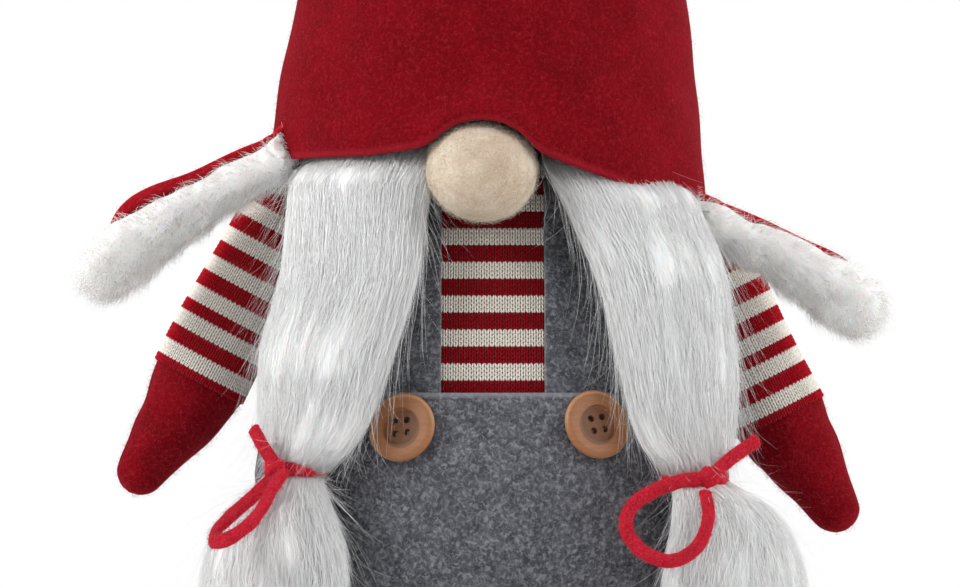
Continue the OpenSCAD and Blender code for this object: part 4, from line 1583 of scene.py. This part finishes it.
@dataclass
class Tie:
    """A felt strip tied round a gathered pigtail: band, knot and one looped strip."""

    side: Side
    route: Sequence[tuple[float, float, float]]
    ring: tuple[float, float, float]
    width: float = 0.0050
    thick: float = 0.0032
    ring_r: float = 0.0106
    knot_at: int = 2

    def path(self, per: int = 6) -> Array:
        """Close points on the smooth curve through the route."""
        rows = np.array(self.route, float) * MM
        last = len(rows) - 1
        return smooth_rows(rows, np.linspace(0, last, last * per + 1))

    def strip(self, line: Array) -> tuple[bpy.types.Object, Array, list[Array]]:
        """The strip: an oval section carried along a line, flat side to the trunk.

        Args:
            line: The line's points.

        Returns:
            The object, its points and its faces.
        """
        heading = unit(np.gradient(line, axis=0))
        out = unit(line * [1, 1, 0])
        wide = unit(np.cross(heading, out))
        thin = np.cross(wide, heading)
        turn = circle(16)
        c, s = np.cos(turn), np.sin(turn)
        frayed = 1 + 0.08 * ripple(line[:, None] + 0.002 * np.stack([c, s, c * s], -1), 0.0045, 131)
        place = (
            line[:, None]
            + (self.width / 2 * frayed * squared(c, 0.7))[..., None] * wide[:, None]
            + (self.thick / 2 * frayed * squared(s, 0.8))[..., None] * thin[:, None]
        )
        return closed_rings(f"tie_{self.side.tag}_strip", place, line[0], line[-1])

    def band(self) -> bpy.types.Object:
        """The ring of felt pulled tight round the hair: a torus with a slow wave."""
        turn, around = circle(72)[:, None], circle(16)[None]
        reach = self.ring_r + 0.0015 * np.cos(around) + 0.0002 * np.sin(turn * 9)
        height = 0.0025 * np.sin(around) + 0.0004 * np.sin(turn * 2 + 1)
        ring = spun(reach, turn, height)
        faces = ring_faces(len(ring) + 1, ring.shape[1]) % ring[..., 0].size
        points = ring.reshape(-1, 3)
        if volume(points, [faces]) < 0:
            faces = faces[:, ::-1]
        return make_mesh(f"tie_{self.side.tag}_band", points + np.array(self.ring), [faces])

    def knot(self) -> bpy.types.Object:
        """The knot: a small ball with the wrapped strip's ridges."""
        turn, rise = circle(64), np.linspace(0, math.pi, 42)[1:-1, None]
        lump = spun(np.sin(rise), turn, np.cos(rise))
        wrap = 0.95 + 0.13 * np.cos(3 * rise + 2 * turn + self.side.value)
        centre = np.array(self.route[self.knot_at]) * MM
        place = centre + lump * wrap[..., None] * [0.0043, 0.0038, 0.0038]
        pole = np.array([0, 0, 0.0036])
        return closed_rings(f"tie_{self.side.tag}_knot", place, centre + pole, centre - pole)[0]

    def build(self) -> None:
        tag, body = self.side.tag, f"hair_{self.side.tag}"
        line = self.path()
        strip, *surface = self.strip(line)
        settle(strip, TIE_FELT, body, [f"tie_{tag}"])
        TIE_DOWN.grow(f"tie_{tag}_fuzz", *scatter(*surface, 2200, 132), 133, body)
        band = settle(self.band(), TIE_FELT, body, [f"tie_band_{tag}"])
        knot = settle(self.knot(), TIE_FELT, body, [f"tie_knot_{tag}"])


LEFT_HAIR = (
    (273, 50, 60, 37, 9), (266, 50.5, 62.5, 38, 9.5), (258, 50, 67.5, 37, 13),
    (247, 48, 71.5, 34, 12.5), (232, 44, 76, 32, 12), (214, 43, 82, 31, 13), (196, 43, 90, 30, 13), (178, 42, 95, 26, 12), (166, 42, 98, 22, 11.5),
    (158, 42.5, 99.5, 15.5, 11), (153, 43.5, 101, 9.5, 9), (149, 43.5, 101, 8.6, 8.6),
)
RIGHT_HAIR = (
    (270, 50, 58, 34, 9), (261, 50, 62, 36, 10), (251, 49.5, 70, 35, 12),
    (240, 49, 76, 34, 12), (226, 49, 83, 32, 13),
    (208, 48.5, 88, 30, 13), (190, 48, 92, 28, 13), (175, 46.5, 95, 25, 12), (163, 46, 97.5, 21, 11.5),
    (155, 45.8, 100, 14.5, 11), (150, 45.5, 101, 9.5, 9), (146, 45.5, 101, 8.6, 8.6),
)
LEFT_PUFF = (
    (155, 43.5, 101, 8.4, 8.4), (150, 44, 102, 10.5, 10), (145, 45, 103.5, 15, 13), (138, 46.3, 105, 22, 16),
    (128, 47.5, 105.5, 29, 18), (112, 48.5, 105.5, 33, 19), (97, 49, 105, 30, 18), (84, 49, 103.5, 20, 14),
    (77, 49, 102, 9, 7),
)
RIGHT_PUFF = (
    (151, 45.5, 101, 8.4, 8.4), (147, 47, 103, 12, 11), (142, 49.5, 105.5, 18, 14), (134, 52, 107, 24, 17),
    (122, 53.5, 108, 31, 18.5), (108, 54.5, 108, 35, 19), (93, 54.5, 106.5, 30, 18), (80, 53, 104, 19, 13),
    (73, 52, 102, 9, 7),
)


LEFT_ROUTE = (
    (-85, -81, 168), (-81, -86, 161), (-77, -88, 154), (-82, -91, 147), (-90, -94, 140), (-97, -98, 133),
    (-98, -106, 129), (-91, -111, 131), (-83, -107, 138), (-78, -99, 147), (-74, -93, 153),
)
RIGHT_ROUTE = (
    (94, -78, 164), (85, -82, 158), (76, -87, 151), (68, -89, 150), (58, -92, 147), (49, -96, 141),
    (47, -99, 133), (53, -101, 125), (63, -102, 122), (72, -101, 127), (76, -97, 137), (75, -92, 146),
)


@dataclass
class Pigtail:
    """One pigtail: hair from under the hat to the tie, and the puff below it."""

    side: Side
    hair: Sequence[Sequence[float]]
    puff: Sequence[Sequence[float]]
    top_z: float
    seed: int
    bend_span: float = 0.024

    def build(self) -> None:
        """Makes the hair, which is fixed to no body, and the puff, which moves with the hair's body."""
        tag, body = self.side.tag, f"hair_{self.side.tag}"
        tress = Tress(f"pigtail_{tag}", self.side, self.hair, 5500, 1300, self.seed)
        bed = settle(tress.bed(), SHADED_HAIR_BED, None, [f"pigtail_{tag}", f"hair_root_{tag}"])
        loose = [settle(made, HAIR, None) for made in (tress.hairs(), tress.strays())]
        for part in (bed, *loose):
            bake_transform(part)
        puff = Tress(f"puff_{tag}", self.side, self.puff, 3900, 600, self.seed + 20, 0.04, 0.45)
        settle(puff.bed(), SHADED_HAIR_BED, body, [f"puff_{tag}"])
        settle(puff.hairs(), HAIR, body)
        settle(puff.strays(), HAIR, body)


NOSE = Nose()
HAT = Hat()


# ---- Studio ----------------------------------------------------------------


@dataclass
class Studio:
    """Camera, pale floor and soft lights."""

    eye: tuple[float, float, float] = (-0.0046, -2.5, 0.2162)
    lens: float = 255.3
    chest_z: float = 0.24
    surround: float = 0.60

    def camera(self) -> None:
        """A long lens straight ahead at chest height."""
        data = bpy.data.cameras.new("camera")
        data.lens, data.sensor_width = self.lens, 36
        data.clip_start, data.clip_end = 0.05, 50
        data.dof.use_dof = False
        camera = bpy.data.objects.new("camera", data)
        camera.location = self.eye
        camera.rotation_euler = (math.pi / 2, 0, 0)
        bpy.context.scene.collection.objects.link(camera)
        bpy.context.scene.camera = camera

    def lamp(self, name: str, place: Sequence[float], size: float, power: float) -> None:
        """A square soft light aimed at the chest."""
        data = bpy.data.lights.new(name, "AREA")
        data.size, data.energy = size, power
        lamp = bpy.data.objects.new(name, data)
        lamp.location = place
        aim = Vector((0, 0, self.chest_z)) - Vector(place)
        lamp.rotation_euler = aim.to_track_quat("-Z", "Y").to_euler()
        bpy.context.scene.collection.objects.link(lamp)

    def floor(self) -> None:
        """A round pale floor."""
        rows, cols, level = 12, 128, -0.0002
        reach = np.linspace(0.02, 1.5, rows)[:, None]
        ring = spun(reach, circle(cols), level)
        points = np.concatenate([ring.reshape(-1, 3), [[0, 0, level]]])
        c = np.arange(cols)
        cap = np.stack([c, (c + 1) % cols, np.full(cols, rows * cols)], -1)
        floor = make_mesh("floor", points, [ring_faces(rows, cols), cap[:, ::-1]])
        floor.data.materials.append(finish(FLOOR))

    def world(self) -> None:
        """White surroundings: bright to look at, softer as light."""
        world = bpy.data.worlds.new("surroundings")
        world.use_nodes = True
        tree = world.node_tree
        tree.nodes.clear()
        seen, light = (tree.nodes.new("ShaderNodeBackground") for _ in range(2))
        seen.inputs[0].default_value = (1, 1, 1, 1)
        seen.inputs[1].default_value = 1.0
        light.inputs[0].default_value = (0.95, 0.97, 1, 1)
        light.inputs[1].default_value = self.surround
        kinds = "MixShader", "LightPath", "OutputWorld"
        mix, path, out = (tree.nodes.new(f"ShaderNode{kind}") for kind in kinds)
        tree.links.new(path.outputs["Is Camera Ray"], mix.inputs[0])
        tree.links.new(light.outputs[0], mix.inputs[1])
        tree.links.new(seen.outputs[0], mix.inputs[2])
        tree.links.new(mix.outputs[0], out.inputs[0])
        bpy.context.scene.world = world

    def build(self) -> None:
        """Sets the whole studio up."""
        self.camera()
        self.world()
        self.floor()
        self.lamp("key", (-1.8, -0.76, 1.3), 0.9, 37)
        self.lamp("fill", (1.9, -0.6, 1.1), 1.2, 28)
        self.lamp("back", (0.3, 1.7, 1.3), 1.2, 12)
        bpy.context.scene.view_settings.view_transform = "Standard"


def dress_packed() -> None:
    """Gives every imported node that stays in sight, or within, its own material."""
    for name, piece in frame["nodes"].items():
        key = next((k for k in HIDDEN if name.startswith(k)), None)
        if name.startswith("button_") and name != "button_glue":
            front = middle_of(name) + [0, -0.0018, -0.0005]
            coat = replace(BUTTON_WOOD, name=f"{name}_wood", middle=tuple(front))
        elif key is not None:
            coat = HIDDEN[key]
        elif "wire" in name:
            coat = WIRE
        else:
            continue
        piece.data.materials.clear()
        piece.data.materials.append(finish(coat))


def main() -> None:
    """Builds the figure from the ties outwards, then gives the imported parts their materials."""
    logging.basicConfig(level=logging.INFO, format="%(message)s", stream=sys.stdout)
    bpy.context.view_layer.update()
    Studio().build()
    for side, route in ((Side.LEFT, LEFT_ROUTE), (Side.RIGHT, RIGHT_ROUTE)):
        Tie(side, route, tuple(middle_of(f"tie_band_{side.tag}"))).build()
    Sweater().build()
    Dungarees().build()
    Boots().build()
    NOSE.build()
    HAT.build()
    EarFlap(Side.LEFT, joint_place("flap_left_lift"), 29, 30, 0.080).build()
    EarFlap(Side.RIGHT, joint_place("flap_right_lift"), 27, 36, 0.072).build()
    Arm(Side.LEFT, joint_place("arm_left_swing"), 28).build()
    Arm(Side.RIGHT, joint_place("arm_right_swing"), 26).build()
    Pigtail(Side.LEFT, LEFT_HAIR, LEFT_PUFF, 0.262, 200).build()
    Pigtail(Side.RIGHT, RIGHT_HAIR, RIGHT_PUFF, 0.254, 300).build()
    dress_packed()


if __name__ == "__main__":
    main()
